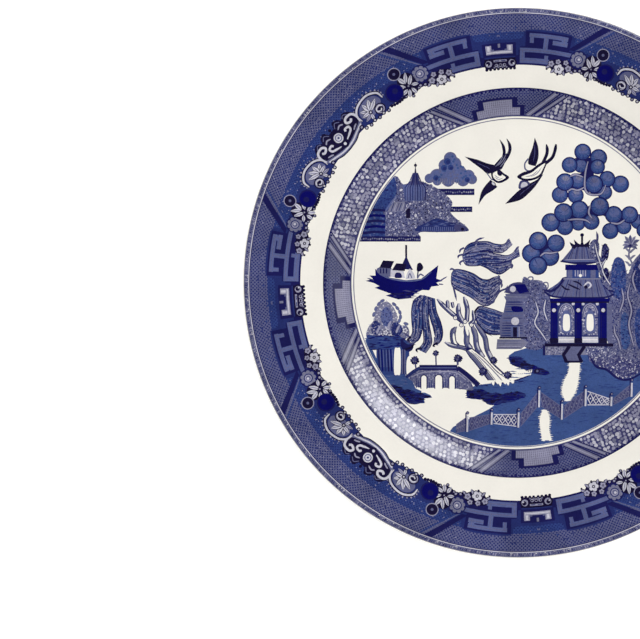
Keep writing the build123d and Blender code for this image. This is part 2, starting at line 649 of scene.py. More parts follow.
def leaf_cluster(ink):
    """Light leaves and berries between the rosette and the discs."""
    ink.blob([
        (21.8, 110.8), (23.2, 112.8), (25.2, 112.0), (26.0, 108.0), (25.6, 103.6), (23.6, 101.8),
        (21.8, 102.8), (21.4, 106.4),
    ], "black")
    leaves = (
        ((23.6, 106.4), (21.9, 110.6), 1.9), ((24.0, 108.0), (22.9, 112.8), 1.8),
        ((24.1, 108.0), (25.1, 112.2), 2.0), ((24.4, 106.6), (26.2, 108.8), 1.7),
        ((24.2, 105.2), (26.0, 104.0), 1.7), ((23.8, 104.8), (24.7, 101.4), 1.8),
        ((23.2, 105.0), (22.6, 101.6), 1.7), ((22.9, 106.4), (21.2, 105.4), 1.6),
    )
    for widening, tone in ((0.7, "black"), (0.0, "mist")):
        for foot, tip, width in leaves:
            leaf(ink, foot, tip, width + widening, tone, "slate" if tone == "mist" else None)
    for angle, radius in ((23.7, 106.4), (21.6, 103.4), (23.7, 101.2), (25.5, 102.6)):
        ink.rings((angle, radius), (0.85, "black", 8), (0.42, "lilac", 6))


def two_discs(ink):
    """A small dark disc with a thin light ring, and the large plain blue one below it."""
    ink.disc((27.5, 107.0), 4.4, "navy", 20)
    ink.disc((27.4, 107.0), 3.8, "royal", 18)
    ink.disc((27.1, 107.6), 1.4, "navy", 10)
    ink.rings((25.3, 114.6), (3.05, "lilac", 20), (2.65, "black", 18), (0.7, "slate", 8))
    for k in range(6):
        ink.disc((26.0 + 0.75 * k, 102.7 - 0.5 * math.sin(k * math.pi / 5)), 0.8, "black", 8)


def feathered_scroll(ink):
    """The white C-shaped scroll with a feathered back, pale petals and a dark curl in its arms."""
    back = smooth([
        (37.9, 106.0), (38.0, 109.6), (36.4, 112.6), (33.4, 113.9), (31.0, 112.0), (30.4, 108.6),
    ], 6)
    outline = [
        (38.6, 105.0), (38.8, 109.6), (36.9, 113.6), (33.4, 115.0), (30.2, 113.0), (29.4, 108.4),
        (30.4, 102.8), (34.5, 101.8), (37.4, 102.8),
    ]
    ink.blob(outline, "deep")
    for k, spot in enumerate(back[1:-1:2]):
        way = (34.2 + (spot[0] - 34.2) * 1.2, 108.0 + (spot[1] - 108.0) * 1.32)
        leaf(ink, spot, way, 1.9, "deep")
        leaf(ink, spot, way, 0.9, ("stone", "lilac")[k % 2])
    ink.line(back, 1.9, "black", 0.3, 0.5)
    ink.line(back, 0.95, "mist", 0.3, 0.5)
    hollow = [
        (37.2, 106.2), (37.2, 109.4), (35.8, 111.8), (33.4, 112.7), (31.7, 111.2), (31.3, 107.6),
        (34.4, 104.4),
    ]
    ink.blob(hollow, "slate")
    for angle, radius, width in (
        (36.9, 109.6, 2.1), (35.4, 111.7, 2.2), (33.5, 112.0, 2.2), (32.0, 110.3, 1.9), (37.2, 107.0, 1.7),
    ):
        leaf(ink, (34.8, 106.8), (angle, radius), width + 0.7, "black")
        leaf(ink, (34.8, 106.8), (angle, radius), width, "mist", "slate")
    for tip, tone in (((37.2, 104.4), "lilac"), ((35.4, 102.6), "mist")):
        leaf(ink, (35.0, 105.8), tip, 2.1, "black")
        leaf(ink, (35.0, 105.8), tip, 1.5, tone, "slate")
    ink.rings((34.9, 106.5), (1.0, "black", 8), (0.45, "mist", 6))
    for radius, tone in ((2.75, "black"), (2.15, "lilac"), (1.6, "black")):
        ink.disc((32.5, 105.0), radius, tone, 16)
    curl = [(31.7, 105.6), (32.3, 106.5), (33.3, 105.9), (33.4, 104.7), (32.6, 104.1), (32.1, 104.9)]
    ink.curve(curl, 0.6, "mist", 0.6, 0.8)
    for k in range(6):
        spot = (31.0 + 1.45 * k, 101.9 + 0.5 * (k % 2))
        ink.disc(spot, 1.0, "black", 8)
        ink.disc(spot, 0.5, ("lilac", "mist")[k % 2], 6)


def cartouche(ink):
    """The black cartouche with white scrolls about a round flower. Its middle is the mirror line."""
    end = EIGHTH + 1
    ink.area([
        (38.6, 104.4), (40.4, 103.4), (42.4, 101.9), (EIGHTH, 101.4), (end, 101.4), (end, 106),
        (38.4, 108),
    ], "slate")
    ink.curve([(38.6, 104.5), (40.4, 103.4), (42.4, 101.9), (EIGHTH, 101.4), (end, 101.4)], 0.55, "black")
    ink.curve([(38.6, 105.8), (40.6, 104.5), (42.8, 103.1), (EIGHTH, 102.6), (end, 102.6)], 0.8, "mist")
    ink.blob([
        (end, 113.2), (44.2, 113.4), (43.4, 116.0), (42.0, 115.2), (41.4, 113.6), (40.4, 115.4),
        (38.9, 114.2), (37.9, 111.0), (38.4, 107.6), (40.4, 105.6), (42.6, 104.2), (44.0, 103.6),
        (end, 103.4),
    ], "black")
    ink.curve([(43.9, 113.0), (43.0, 114.8), (42.0, 113.6)], 0.4, "slate")
    ink.curve([(41.0, 113.6), (40.3, 114.6), (39.4, 113.4)], 0.4, "slate")
    ink.curve([
        (38.3, 106.8), (38.1, 110.0), (38.8, 112.4), (40.4, 112.6), (41.0, 110.9), (40.0, 109.9),
        (39.4, 110.8),
    ], 1.15, "mist", 0.5, 0.9)
    ink.curve([
        (43.8, 105.4), (42.4, 106.4), (41.4, 107.4), (41.3, 109.0), (42.3, 109.4), (42.6, 108.4),
    ], 1.05, "mist", 0.4, 0.9)
    ink.curve([(43.6, 111.6), (42.6, 112.4), (41.8, 111.6)], 0.7, "lilac", 0.4, 0.6)
    ink.curve([(39.4, 107.4), (40.2, 106.8), (40.9, 106.0)], 0.7, "lilac", 0.5, 0.5)
    ink.rings(
        (EIGHTH, 109.0), (2.8, "black", 16), (2.35, "mist", 16), (1.75, "slate", 14), (1.3, "mist", 12),
        (0.55, "deep", 8),
    )
    ink.disc((EIGHTH, 104.9), 0.75, "mist", 8)
    ink.disc((EIGHTH, 114.4), 0.8, "black", 8)
    ink.rings((39.1, 104.2), (1.2, "black", 8), (0.6, "lilac", 6))


def draw_rim():
    """One eighth of the border, from the key to the cartouche."""
    chance = random.Random(7)
    ink = Drawing(on_ring)
    rim_ground(ink, chance)
    key_ground(ink)
    stepped_key(ink)
    frets(ink)
    rosette(ink)
    edge_sprig(ink)
    leaf_cluster(ink)
    feathered_scroll(ink)
    two_discs(ink)
    cartouche(ink)
    for radius in (104, 108, 112, 116, 120, 124, 128.3, 128.6, 128.9, 129.15, 129.4):
        ink.guide(arc(radius, 0, EIGHTH, 0.5))
    return ink


def split_eighth(drawing, inner, outer):
    """An eighth of a ring, cut along its drawing."""
    boundary = [on_ring(*p) for p in sector(inner, outer, 0, EIGHTH, 0.5)]
    flat, triangles, tones = split_into_triangles(drawing, boundary)
    return (*used_only(flat, triangles), tones)


def slipped(flat, turn, before, after):
    """The points turned a little, most half-way to the next key, on each side of the key at turn."""
    angles = np.degrees(np.arctan2(flat[:, 1], flat[:, 0]))
    away = (angles - turn + 180) % 360 - 180
    angles = angles + np.where(away > 0, after, before) * np.sin(np.radians(2 * away)) ** 2
    radii = np.hypot(*flat.T)
    return np.c_[radii * np.cos(np.radians(angles)), radii * np.sin(np.radians(angles))]


def build_rim():
    """The border in four strips, each from one cartouche to the next."""
    flat, triangles, tones = split_eighth(draw_rim(), *RIM_PRINT)
    for k in range(4):
        turn = RIM_TURN + k * QUARTER
        strip, faces = repeated(flat, triangles, [turn])
        strip = slipped(strip, turn, RIM_SLIPS[k - 1], RIM_SLIPS[k])
        lay_on_front(
            f"rim_border_strip_{k + 1}", strip, faces, np.tile(tones, 2),
            "rim_border_print",
        )


# ---------------------------------------------------------------------------------------
# The band on the verge. Angles run from the middle of the stepped panel to the middle of
# the mosaic.
# ---------------------------------------------------------------------------------------
VERGE_TURN = 6.5
VERGE_GROUND = (79.4, 92.3)
VERGE_PRINT = (77.5, 92.9)
BAR_FOOT = 9.7
BAR_TOP = 18.4
SECOND_BAR = 2.8
EDGE_BEADS = 34
PEBBLE_ROWS = 7
PEBBLE_PITCH = 1.9
PEBBLE_TONES = ("lilac", "lilac", "stone", "mist", "lilac", "mist")


def pebble(ink, chance, angle, radius):
    """An uneven rounded pebble."""
    x, y = on_ring(angle, radius)
    size = chance.uniform(0.74, 1.04)
    turn = chance.uniform(0, math.tau)
    sides = 7
    outline = []
    for k in range(sides):
        a = turn + k * math.tau / sides
        reach = size * chance.uniform(0.72, 1.15)
        outline.append(away_from((x, y), reach, a))
    ink.shapes.append((np.array(outline), chance.choice(PEBBLE_TONES)))


def verge_mosaic(ink, chance):
    """Uneven pale pebbles in a violet net, beyond the slanting bars."""
    low, high = VERGE_GROUND
    ends = (BAR_FOOT + SECOND_BAR, BAR_TOP + SECOND_BAR)
    ink.area([*arc(low, ends[0], EIGHTH + 1), *arc(high, EIGHTH + 1, ends[1])], "dusk")
    step = (high - low - 0.9) / PEBBLE_ROWS
    for j in range(PEBBLE_ROWS):
        radius = low + (j + 0.5) * step
        pitch = math.degrees(PEBBLE_PITCH / radius)
        nearest = ends[0] + 0.8 + (BAR_TOP - BAR_FOOT) * (radius - low) / (high - low)
        for k in range(math.ceil((EIGHTH - nearest) / pitch)):
            angle = EIGHTH - (k + 0.5 * (j % 2)) * pitch + chance.uniform(-0.3, 0.3)
            if angle > nearest:
                pebble(ink, chance, min(angle, EIGHTH), radius + chance.uniform(-0.36, 0.36))


def verge_hatching(ink):
    """The dark hatched ground beside the panel, and the double bar that closes it."""
    low, high = VERGE_GROUND
    ink.area(sector(low, high, -1, BAR_TOP + 4), "deep")
    trellis(ink, low, high - 0.4, -1, BAR_TOP + 3, 1.05, "slate", 0.4, 0.24, "navy")


def slanting_bars(ink):
    """Two light bars with dark lines between them."""
    low, high = VERGE_GROUND
    for shift, width in ((0.0, 1.9), (SECOND_BAR, 1.3)):
        ends = [(BAR_FOOT + shift, low), (BAR_TOP + shift, high - 0.3)]
        ink.line(ends, width + 1.1, "navy")
        ink.line(ends, width, "stone")
        ink.line(ends, width * 0.3, "lilac")


def stepped_panel(ink):
    """The pale panel in two steps, ruled with a faint grid, between dark blocks."""
    low = VERGE_GROUND[0]
    ink.area(sector(low, low + 4.8, -1, 8.7), "navy")
    ink.area(sector(low, low + 8.4, -1, 6.3), "navy")
    ink.area(sector(low, low + 3.7, -1, 7.2), "stone")
    ink.area(sector(low, low + 7.4, -1, 4.6), "stone")
    for k in range(11):
        top = low + (7.2 if k < 7 else 3.5)
        ink.line([(0.33 + 0.66 * k, low + 0.3), (0.33 + 0.66 * k, top)], 0.42, "lilac")
    for j in range(7):
        end = 7.1 if j < 3 else 4.5
        ink.line(arc(low + 0.7 + 1.02 * j, -1, end), 0.22, "lilac")


def verge_lines(ink, chance):
    """The beaded line round the band and the fine lines that part it from the scene."""
    ink.area(sector(91.7, VERGE_GROUND[1], -1, EIGHTH + 1), "navy")
    for k in range(EDGE_BEADS):
        place = (
            (k + 0.5) * EIGHTH / EDGE_BEADS + chance.uniform(-0.3, 0.3),
            91.5 + chance.uniform(-0.35, 0.2),
        )
        ink.disc(
            place, chance.uniform(0.45, 0.85), "navy", 7, chance.uniform(0.7, 1.0),
            chance.uniform(0, 180),
        )
    ink.area(sector(VERGE_GROUND[1], 93.4, -1, EIGHTH + 1), "glaze")
    ink.area(sector(76.0, VERGE_GROUND[0], -1, EIGHTH + 1), "glaze")
    ink.area(sector(78.8, VERGE_GROUND[0], -1, EIGHTH + 1), "dusk")
    ink.area(sector(77.5, 77.95, -1, EIGHTH + 1), "stone")


def draw_verge():
    """One eighth of the band, from the panel to the middle of the mosaic."""
    chance = random.Random(11)
    ink = Drawing(on_ring)
    verge_hatching(ink)
    verge_mosaic(ink, chance)
    slanting_bars(ink)
    stepped_panel(ink)
    verge_lines(ink, chance)
    for radius in np.arange(78.2, 92.8, 0.9):
        ink.guide(arc(radius, 0, EIGHTH, 0.75))
    return ink


def build_verge():
    """The band, closed round the plate."""
    flat, triangles, tones = split_eighth(draw_verge(), *VERGE_PRINT)
    turns = [VERGE_TURN + k * QUARTER for k in range(4)]
    ring, faces = repeated(flat, triangles, turns)
    lay_on_front("verge_band", ring, faces, np.tile(tones, 8), "verge_band_print")


build_rim()
build_verge()

# ---------------------------------------------------------------------------------------
# The landscape in the well. x runs to the right and y away from the diner, from the middle.
# ---------------------------------------------------------------------------------------
SCENE_EDGE = 77.35
SCENE_PRINT = 77.4
LEAF_TONES = ("navy", "black", "deep", "dusk", "lilac", "mist")


def between(one, other, share):
    """A line part of the way between two lines that have the same number of points."""
    return [tuple(Vector(a).lerp(Vector(b), share)) for a, b in zip(one, other)]


def stretches(chance, count, shortest, longest, first=0, gap=0):
    """The first and last places of stretches of random length along a line of count points."""
    while first < count - 2:
        last = min(first + chance.randint(shortest, longest), count - 1)
        yield first, last
        first = last + gap


def broken_strokes(ink, chance, one, other, count, width, tones, gap=0.25):
    """Broken strokes that run side by side between two edges."""
    for k in range(count):
        path = smooth(between(one, other, (k + 0.5) / count), 5)
        for first, last in stretches(chance, len(path), 3, 8):
            if chance.random() > gap:
                ink.line(
                    path[first:last + 1], width * chance.uniform(0.7, 1.2), chance.choice(tones), 0.5,
                    0.4,
                )


def plume(
    ink, chance, one, other, locks, leaves=("steel", "wash", "steel", "slate"),
    tips=("stone", "slate", "lilac"),
):
    """A hanging mass of leaves between two edges: dark-edged locks that turn grey towards their tips."""
    ink.sliver(one, other, "deep")
    for k in range(locks):
        near = smooth(between(one, other, (k + 0.16) / locks), 6)
        far = smooth(between(one, other, (k + 0.84) / locks), 6)
        for first, last in stretches(chance, len(near), 4, 8, chance.randint(0, 2)):
            tones = leaves if first < chance.uniform(0.35, 0.75) * len(near) else tips
            heart = near[first:last + 1] + far[first:last + 1][::-1]
            ink.area(heart, chance.choice(tones))
    broken_strokes(
        ink, chance, one, other, 2 * locks, 0.34, ("deep", "lilac", "navy", "stone", "lilac", "deep"),
        0.3,
    )
    for x, y in strewn(chance, smooth(one) + smooth(other)[::-1], 1.25):
        tone = chance.choice(("deep", "deep", "navy", "slate", "lilac", "steel"))
        ink.disc((x, y), chance.uniform(0.35, 0.65), tone, 6, 0.45, chance.uniform(-70, 70))
    for edge in (one, other):
        ink.curve(edge, 0.5, "navy", 0.5, 0.3)


def cased(ink, path, outer, inner, edge, core, start, end):
    """A pale line with a dark edge on each side."""
    ink.curve(path, outer, edge, start, end)
    ink.curve(path, inner, core, start, end)


def wisps(ink, paths, width, tone="dusk"):
    """Loose pointed wisps at the edge of a plume."""
    for path in paths:
        ink.curve(path, width, tone, 0.9, 0.1)


def strewn(chance, outline, spacing):
    """Places strewn over an outline, one to each square of the spacing."""
    (left, low), (right, high) = np.min(outline, 0), np.max(outline, 0)
    spots = [
        (x + chance.uniform(0, spacing), y + chance.uniform(0, spacing))
        for x in np.arange(left, right, spacing) for y in np.arange(low, high, spacing)
    ]
    inside = covered(np.array(spots), np.array(outline))
    return [s for s, kept in zip(spots, inside) if kept]


def foliage(ink, chance, outline, ground, tones=LEAF_TONES, spacing=0.95, size=0.5):
    """Dense leaves: curls, slips and dots strewn over a ground."""
    outline = smooth(outline, 4, closed=True)
    ink.area(outline, ground)
    for x, y in strewn(chance, outline, spacing):
        tone = chance.choice(tones)
        a = chance.uniform(0, math.tau)
        reach = size * chance.uniform(0.8, 1.5)
        across, up = reach * math.cos(a), reach * math.sin(a)
        if chance.random() < 0.4:
            bend = chance.choice((-0.7, 0.7))
            ink.curve(
                [(x - across, y - up), (x - up * bend, y + across * bend), (x + across, y + up)],
                size * 0.6, tone, 0.5, 0.5, 2,
            )
        else:
            ink.disc(
                (x, y), size * chance.uniform(0.5, 0.95), tone, 5, chance.uniform(0.5, 0.9),
                math.degrees(a),
            )


def streaks(ink, chance, outline, tones, spacing, length, width):
    """Short level strokes strewn over an outline, as water, shade and the edge of land are drawn."""
    for x, y in strewn(chance, outline, spacing):
        reach = length * chance.uniform(0.5, 1.2)
        ink.line(
            [(x - reach / 2, y), (x, y + 0.12), (x + reach / 2, y)], width, chance.choice(tones), 0.15,
            0.15,
        )


def puffs(ink, spots, tone, swell=1.0):
    """Overlapping round puffs, each given as x, y and radius."""
    for x, y, radius in spots:
        ink.disc((x, y), radius * swell, tone, 16)


def blossom(ink, x, y, size, petals=6, petal="lilac"):
    """A small open flower."""
    ink.disc((x, y), size * 1.15, "navy", 12)
    for k in range(petals):
        a = k * math.tau / petals
        ink.disc(away_from((x, y), 0.62 * size, a), 0.4 * size, petal, 6)
    ink.rings((x, y), (0.38 * size, "navy", 7), (0.17 * size, "mist", 5))


def shrub(ink, chance, x, y, size):
    """A small round bush: dark leaves round a greyer heart."""
    ink.disc((x, y), 0.9 * size, "navy", 11, 0.92, chance.uniform(0, 90))
    for k in range(11):
        a = k * math.tau / 11 + chance.uniform(-0.2, 0.2)
        spot = away_from((x, y), 0.78 * size, a, 0.74 * size)
        ink.disc(
            spot, size * chance.uniform(0.22, 0.36), ("navy", "black", "dusk")[k % 3], 7, 0.7,
            math.degrees(a),
        )
    ink.disc((x - 0.12 * size, y + 0.1 * size), 0.5 * size, "dusk", 9)
    for k in range(5):
        a = chance.uniform(0, math.tau)
        ink.disc(away_from((x, y), 0.36 * size, a), 0.16 * size, ("black", "stone", "slate")[k % 3], 5)


def ragged(ink, chance, one, other, tone):
    """A shape between two upright edges, whose edges break into short level strokes."""
    ink.sliver(one, other, tone)
    for edge, way in ((one, -1), (other, 1)):
        for x, y in smooth(edge, 6):
            reach = chance.uniform(0.2, 1.3)
            inner = x - 1.2 * way
            ink.line(
                [(inner, y), ((inner + x) / 2, y), (x + reach * way, y)], chance.uniform(0.5, 0.9), tone,
                1, 0.1,
            )


def shadow(ink, chance, outline):
    """A dark stretch of shore or water with a broken edge."""
    ink.blob(outline, "deep")
    streaks(ink, chance, outline, ("navy", "royal", "navy", "black", "deep"), 0.85, 3.2, 0.9)


def left_swallow(ink):
    """The swallow that flies down to the right, with its forked tail above it."""
    ink.curve([(-9.4, 54.2), (-6.0, 58.2), (-3.9, 62.3), (-4.0, 65.5), (-5.3, 68.2)], 1.5, "black", 1, 0.15)
    ink.curve([(-10.6, 54.8), (-7.7, 58.0), (-6.5, 61.3), (-7.0, 64.8), (-8.6, 67.8)], 1.4, "black", 1, 0.15)
    ink.blob([(-12.0, 54.0), (-10.2, 56.9), (-6.6, 60.6), (-4.9, 61.0), (-5.9, 57.6), (-8.0, 53.6)], "black")
    for path in (
        [(-9.6, 55.4), (-7.2, 57.8), (-5.5, 61.0)], [(-8.4, 54.8), (-6.8, 56.8), (-5.7, 58.9)],
        [(-10.6, 55.0), (-8.4, 57.4), (-7.0, 60.4)],
    ):
        ink.curve(path, 0.42, "stone", 0.4, 0.4)
    ink.sliver(
        [(-25.3, 59.8), (-19.2, 58.3), (-15.0, 56.7), (-10.4, 55.6)],
        [(-25.3, 59.8), (-20.6, 56.3), (-17.2, 53.8), (-14.4, 51.6), (-11.6, 52.6)], "black",
    )
    for k in range(3):
        ink.curve([
            (-19.4 + 2.2 * k, 56.8 - 0.9 * k), (-16.6 + 1.7 * k, 55.6 - 0.9 * k),
        ], 0.35, "dusk", 0.3, 0.3)
    ink.curve([(-14.6, 51.8), (-13.0, 49.6), (-12.0, 48.6)], 0.5, "slate")
    ink.sliver(
        [(-12.9, 48.8), (-15.6, 45.8), (-17.5, 42.4), (-18.7, 36.9)],
        [(-9.7, 45.4), (-12.0, 43.6), (-15.6, 41.2), (-18.7, 36.9)], "black",
    )
    ink.disc((-11.6, 46.9), 1.3, "black", 10, 0.7, -40)
    ink.disc((-11.6, 46.9), 0.95, "mist", 10, 0.6, -40)
    ink.blob([
        (-12.6, 53.0), (-9.4, 53.9), (-6.7, 51.9), (-4.1, 49.9), (-6.7, 47.8), (-9.4, 47.2),
        (-11.8, 48.6), (-12.6, 50.8),
    ], "black")
    ink.blob([
        (-11.6, 52.0), (-9.4, 52.9), (-7.5, 51.3), (-5.8, 49.9), (-7.2, 48.8), (-9.3, 48.2),
        (-11.0, 49.2), (-11.8, 50.6),
    ], "glaze")
    ink.blob([(-9.6, 53.4), (-7.9, 53.0), (-7.6, 51.0), (-8.7, 50.6), (-9.7, 51.6)], "black")
    ink.curve([(-11.0, 49.9), (-9.2, 49.0), (-7.2, 49.4)], 0.35, "stone", 0.3, 0.3)
    ink.curve([(-11.0, 51.0), (-9.8, 50.0), (-8.8, 50.0)], 0.3, "slate", 0.3, 0.3)


def right_swallow(ink):
    """The swallow that flies down to the left."""
    ink.curve([(11.6, 56.2), (13.5, 60.4), (13.9, 63.0), (13.5, 65.6)], 1.5, "black", 1, 0.3)
    ink.curve([(13.2, 56.6), (16.2, 59.2), (17.5, 62.4), (18.1, 65.6)], 1.5, "black", 1, 0.5)
    ink.sliver(
        [(8.0, 68.8), (9.6, 64.2), (9.7, 59.2), (8.4, 55.2)],
        [(8.0, 68.8), (7.0, 64.2), (5.2, 59.2), (4.9, 56.4), (6.4, 55.6)], "black",
    )
    ink.curve([(7.9, 65.4), (8.0, 61.2), (7.2, 57.2)], 0.4, "dusk", 0.3, 0.3)
    ink.curve([(5.0, 58.8), (3.3, 56.4), (3.7, 53.6), (6.2, 53.0), (8.8, 54.6)], 0.7, "slate")
    ink.sliver(
        [(12.2, 51.6), (8.6, 48.6), (4.4, 46.4), (0.4, 43.7), (-2.9, 40.6), (-6.1, 37.3)],
        [(12.2, 51.6), (8.8, 46.4), (5.4, 42.6), (1.1, 39.2), (-6.1, 37.3)], "black",
    )
    for k in range(3):
        ink.curve([(1.0 + 2.6 * k, 41.6 + 2.2 * k), (3.6 + 2.4 * k, 44.0 + 1.8 * k)], 0.35, "dusk", 0.3, 0.3)
    ink.blob([(0.6, 44.4), (1.0, 48.0), (4.0, 48.6), (5.6, 46.4)], "dusk")
    ink.blob([(1.5, 45.0), (1.9, 47.3), (3.8, 47.6), (4.6, 46.2)], "mist")
    ink.blob([
        (13.9, 57.9), (12.4, 53.2), (10.9, 50.4), (7.2, 48.6), (3.0, 48.3), (-0.4, 50.1), (2.2, 52.2),
        (6.0, 53.4), (9.8, 56.2),
    ], "black")
    ink.blob([
        (12.9, 56.6), (11.6, 53.4), (10.2, 51.2), (7.0, 49.6), (3.3, 49.3), (1.7, 50.1), (3.4, 51.0),
        (6.6, 52.2), (9.9, 54.8),
    ], "glaze")
    ink.curve([(3.6, 50.2), (6.6, 50.9), (9.6, 53.2)], 0.35, "stone", 0.3, 0.3)
    ink.curve([(6.2, 50.2), (9.0, 51.7), (11.2, 54.6)], 0.3, "slate", 0.3, 0.3)


ROUND_LEAVES = (
    (57.0, 28.9, 3.4), (61.4, 31.0, 3.7), (64.8, 27.0, 3.6), (59.6, 24.8, 3.3), (50.2, 26.5, 3.4),
    (52.9, 32.2, 3.9), (43.7, 24.5, 3.7), (45.4, 32.2, 4.0), (41.1, 42.8, 3.4), (48.6, 46.7, 3.9),
    (42.3, 49.1, 3.7), (28.3, 48.1, 3.5), (36.0, 46.7, 4.2), (27.4, 41.4, 3.6), (19.9, 41.6, 3.7),
    (22.3, 47.7, 4.0), (38.2, 59.2, 3.9), (37.7, 54.9, 3.4), (29.8, 55.4, 3.2), (24.5, 55.8, 3.6),
    (30.7, 61.9, 3.8), (38.7, 36.1, 4.3), (28.6, 27.9, 3.1), (34.8, 28.9, 3.7), (22.3, 26.5, 3.8),
    (15.5, 28.6, 4.2), (29.0, 34.6, 4.2), (21.6, 33.2, 4.3), (6.4, 13.9, 4.3), (15.1, 12.4, 4.3),
    (18.0, 18.7, 4.0), (9.5, 8.1, 4.2), (9.6, 19.8, 4.2),
)
LEAF_SWELL = 1.06


def round_leaf(ink, chance, x, y, radius):
    """A round leaf: a dark rim, blue below, paler and greyer towards the top, with fine rays."""
    ink.rings((x, y), (radius, "navy", 24), (radius * 0.87, "cobalt", 20))
    ink.disc((x, y + 0.1 * radius), radius * 0.74, "wash", 18)
    ink.disc((x + 0.05 * radius, y + 0.24 * radius), radius * 0.58, "steel", 16, 0.9)
    if chance.random() < 0.8:
        ink.disc(
            (x + 0.1 * radius, y + 0.4 * radius), radius * 0.38,
            chance.choice(("slate", "slate", "stone")), 14, 0.75,
        )
    for k in range(13):
        a = chance.uniform(0, math.tau)
        path = [(x + radius * t * math.cos(a), y + radius * t * math.sin(a)) for t in (0.15, 0.84)]
        ink.line(path, 0.2, chance.choice(("cobalt", "deep", "steel", "wash")), 0.5, 1)


def round_leaf_tree(ink, chance):
    """The tall tree of round leaves: dark gaps, then the leaves, then its pale branches."""
    ink.blob([
        (24, 56), (30, 60), (38, 57), (36, 51), (44, 46), (38, 42), (30, 44), (22, 44), (21, 49),
        (30, 52),
    ], "navy")
    ink.blob([
        (18, 30), (24, 34), (32, 36), (40, 37), (45, 32), (52, 30), (46, 26), (40, 32), (30, 27),
        (20, 26),
    ], "navy")
    ink.blob([(7, 13), (9, 19), (16, 19), (16, 13), (10, 9)], "navy")
    for x, y, radius in ROUND_LEAVES:
        round_leaf(ink, chance, x, y, radius * LEAF_SWELL)
    for path in (
        [(33.2, 57.4), (31.9, 51.6), (31.8, 44.6), (34.2, 41.9), (39.4, 42.2), (41.7, 46.4)],
        [(23.6, 43.2), (25.6, 44.4), (28.4, 43.8), (31.8, 45.4)], [(31.0, 50.0), (27.4, 51.2), (24.8, 50.4)],
        [(23.6, 29.7), (27.6, 30.1), (31.9, 29.7), (34.4, 28.2)], [(44.0, 28.4), (47.6, 28.0), (50.6, 29.8)],
        [(10.6, 12.6), (12.7, 14.1), (15.6, 14.0), (19.0, 14.6)], [(34.2, 36.6), (33.6, 33.0), (35.2, 30.4)],
    ):
        cased(ink, path, 1.3, 0.75, "navy", "lilac", 0.5, 0.4)


def beaded_shore(ink, chance, left, low, right, high):
    """A flat dark shore with a row of pale beads."""
    ink.box(left, low, right, high, "navy")
    for x in np.arange(left + 0.8, right - 0.4, 1.05):
        place = (x, (low + high) / 2 + chance.uniform(-0.35, 0.35))
        ink.disc(place, chance.uniform(0.35, 0.5), chance.choice(("slate", "stone", "lilac")), 6)


def cloud_tree(ink, chance):
    """The rounded tree behind the island, and the flat shores to its right."""
    tree = (
        (-32.0, 58.9, 3.1), (-34.6, 55.6, 3.0), (-30.2, 56.2, 3.5), (-33.2, 52.4, 4.6), (-28.4, 51.6, 4.4),
        (-38.2, 50.4, 3.6), (-41.9, 49.4, 2.3), (-23.4, 50.6, 3.0), (-21.7, 49.0, 2.4), (-26.0, 48.6, 3.0),
        (-33.0, 48.4, 3.0), (-38.2, 48.2, 2.2),
    )
    puffs(ink, tree, "slate")
    puffs(ink, tree, "steel", 0.8)
    for x, y in strewn(chance, [
        (-43, 47), (-37, 53), (-34, 60), (-29, 60), (-25, 53), (-20, 50), (-21, 47),
    ], 1.5):
        ink.disc((x, y), 0.6, chance.choice(("steel", "wash", "slate")), 6)
    for x, y, radius in (
        (-33.4, 57.4, 1.7), (-35.0, 54.4, 1.5), (-31.8, 54.6, 1.4), (-38.8, 49.6, 1.4),
        (-24.0, 48.8, 1.3),
    ):
        ink.disc((x, y), radius, "cobalt", 9)
        ink.disc((x + 0.3, y - 0.3), radius * 0.6, "deep", 7)
    for x in np.arange(-38.0, -28.0, 1.1):
        ink.line([(x, 46.8), (x + 0.2, 49.4)], 0.4, "stone", 1, 0.2)
    beaded_shore(ink, chance, -41.0, 41.5, -20.6, 44.5)
    beaded_shore(ink, chance, -34.0, 33.5, -21.6, 36.1)


def spired_house(ink, chance):
    """The rocks and leaves of the island, with its spired roof and the grove beside it."""
    foliage(ink, chance, [
        (-78, 34), (-66, 44), (-58.1, 50.6), (-54.3, 46.6), (-48.6, 48.4), (-43, 47), (-38, 44.6),
        (-34.0, 41.6), (-31.0, 38.0), (-32.0, 33.6), (-28.0, 29.4), (-24.2, 26.4), (-25.4, 24.4), (-46, 24),
        (-48, 20.6), (-78, 20.6),
    ], "slate")
    ink.sliver(
        [(-48.5, 56.0), (-49.4, 50.6), (-51.6, 47.4), (-55.6, 46.0)],
        [(-48.5, 56.0), (-47.7, 50.6), (-45.8, 47.8), (-42.2, 46.6)], "dusk",
    )
    ink.disc((-48.5, 55.6), 0.75, "black", 8)
    ink.line([(-48.5, 57.0), (-48.5, 51.0)], 0.6, "black", 0.3, 1)
    ink.area([(-54.6, 46.4), (-43.4, 46.4), (-44.6, 38.8), (-53.6, 38.8)], "steel")
    for k in range(9):
        x = -53.4 + 1.2 * k
        rib = [(-48.5 + (x + 48.5) * 0.2, 52.0), (-48.5 + (x + 48.5) * 0.55, 48.0), (x, 45.0), (x, 39.0)]
        ink.line(rib, 0.45, ("deep", "dusk", "navy")[k % 3])
    ink.area([(-60.6, 38.2), (-53.6, 38.4), (-53.8, 34.0), (-61.6, 33.6)], "stone")
    for k in range(6):
        ink.line([(-60.0 + 1.2 * k, 34.0), (-58.6 + 1.2 * k, 37.8)], 0.4, ("deep", "lilac", "dusk")[k % 3])
    grove = [(-74, 36), (-66, 43.6), (-60.4, 49.6), (-58.2, 49.4), (-57.4, 43), (-59.4, 39), (-62.4, 34.6)]
    foliage(ink, chance, grove, "cobalt", ("deep", "navy", "wash", "deep"), 1.3, 0.7)
    ink.line([(-57.6, 41.0), (-59.4, 38.4), (-62.4, 34.4)], 1.3, "steel", 0.4, 0.6)
    ink.line([(-57.6, 40.6), (-59.8, 37.4)], 0.4, "lilac", 0.4, 0.6)


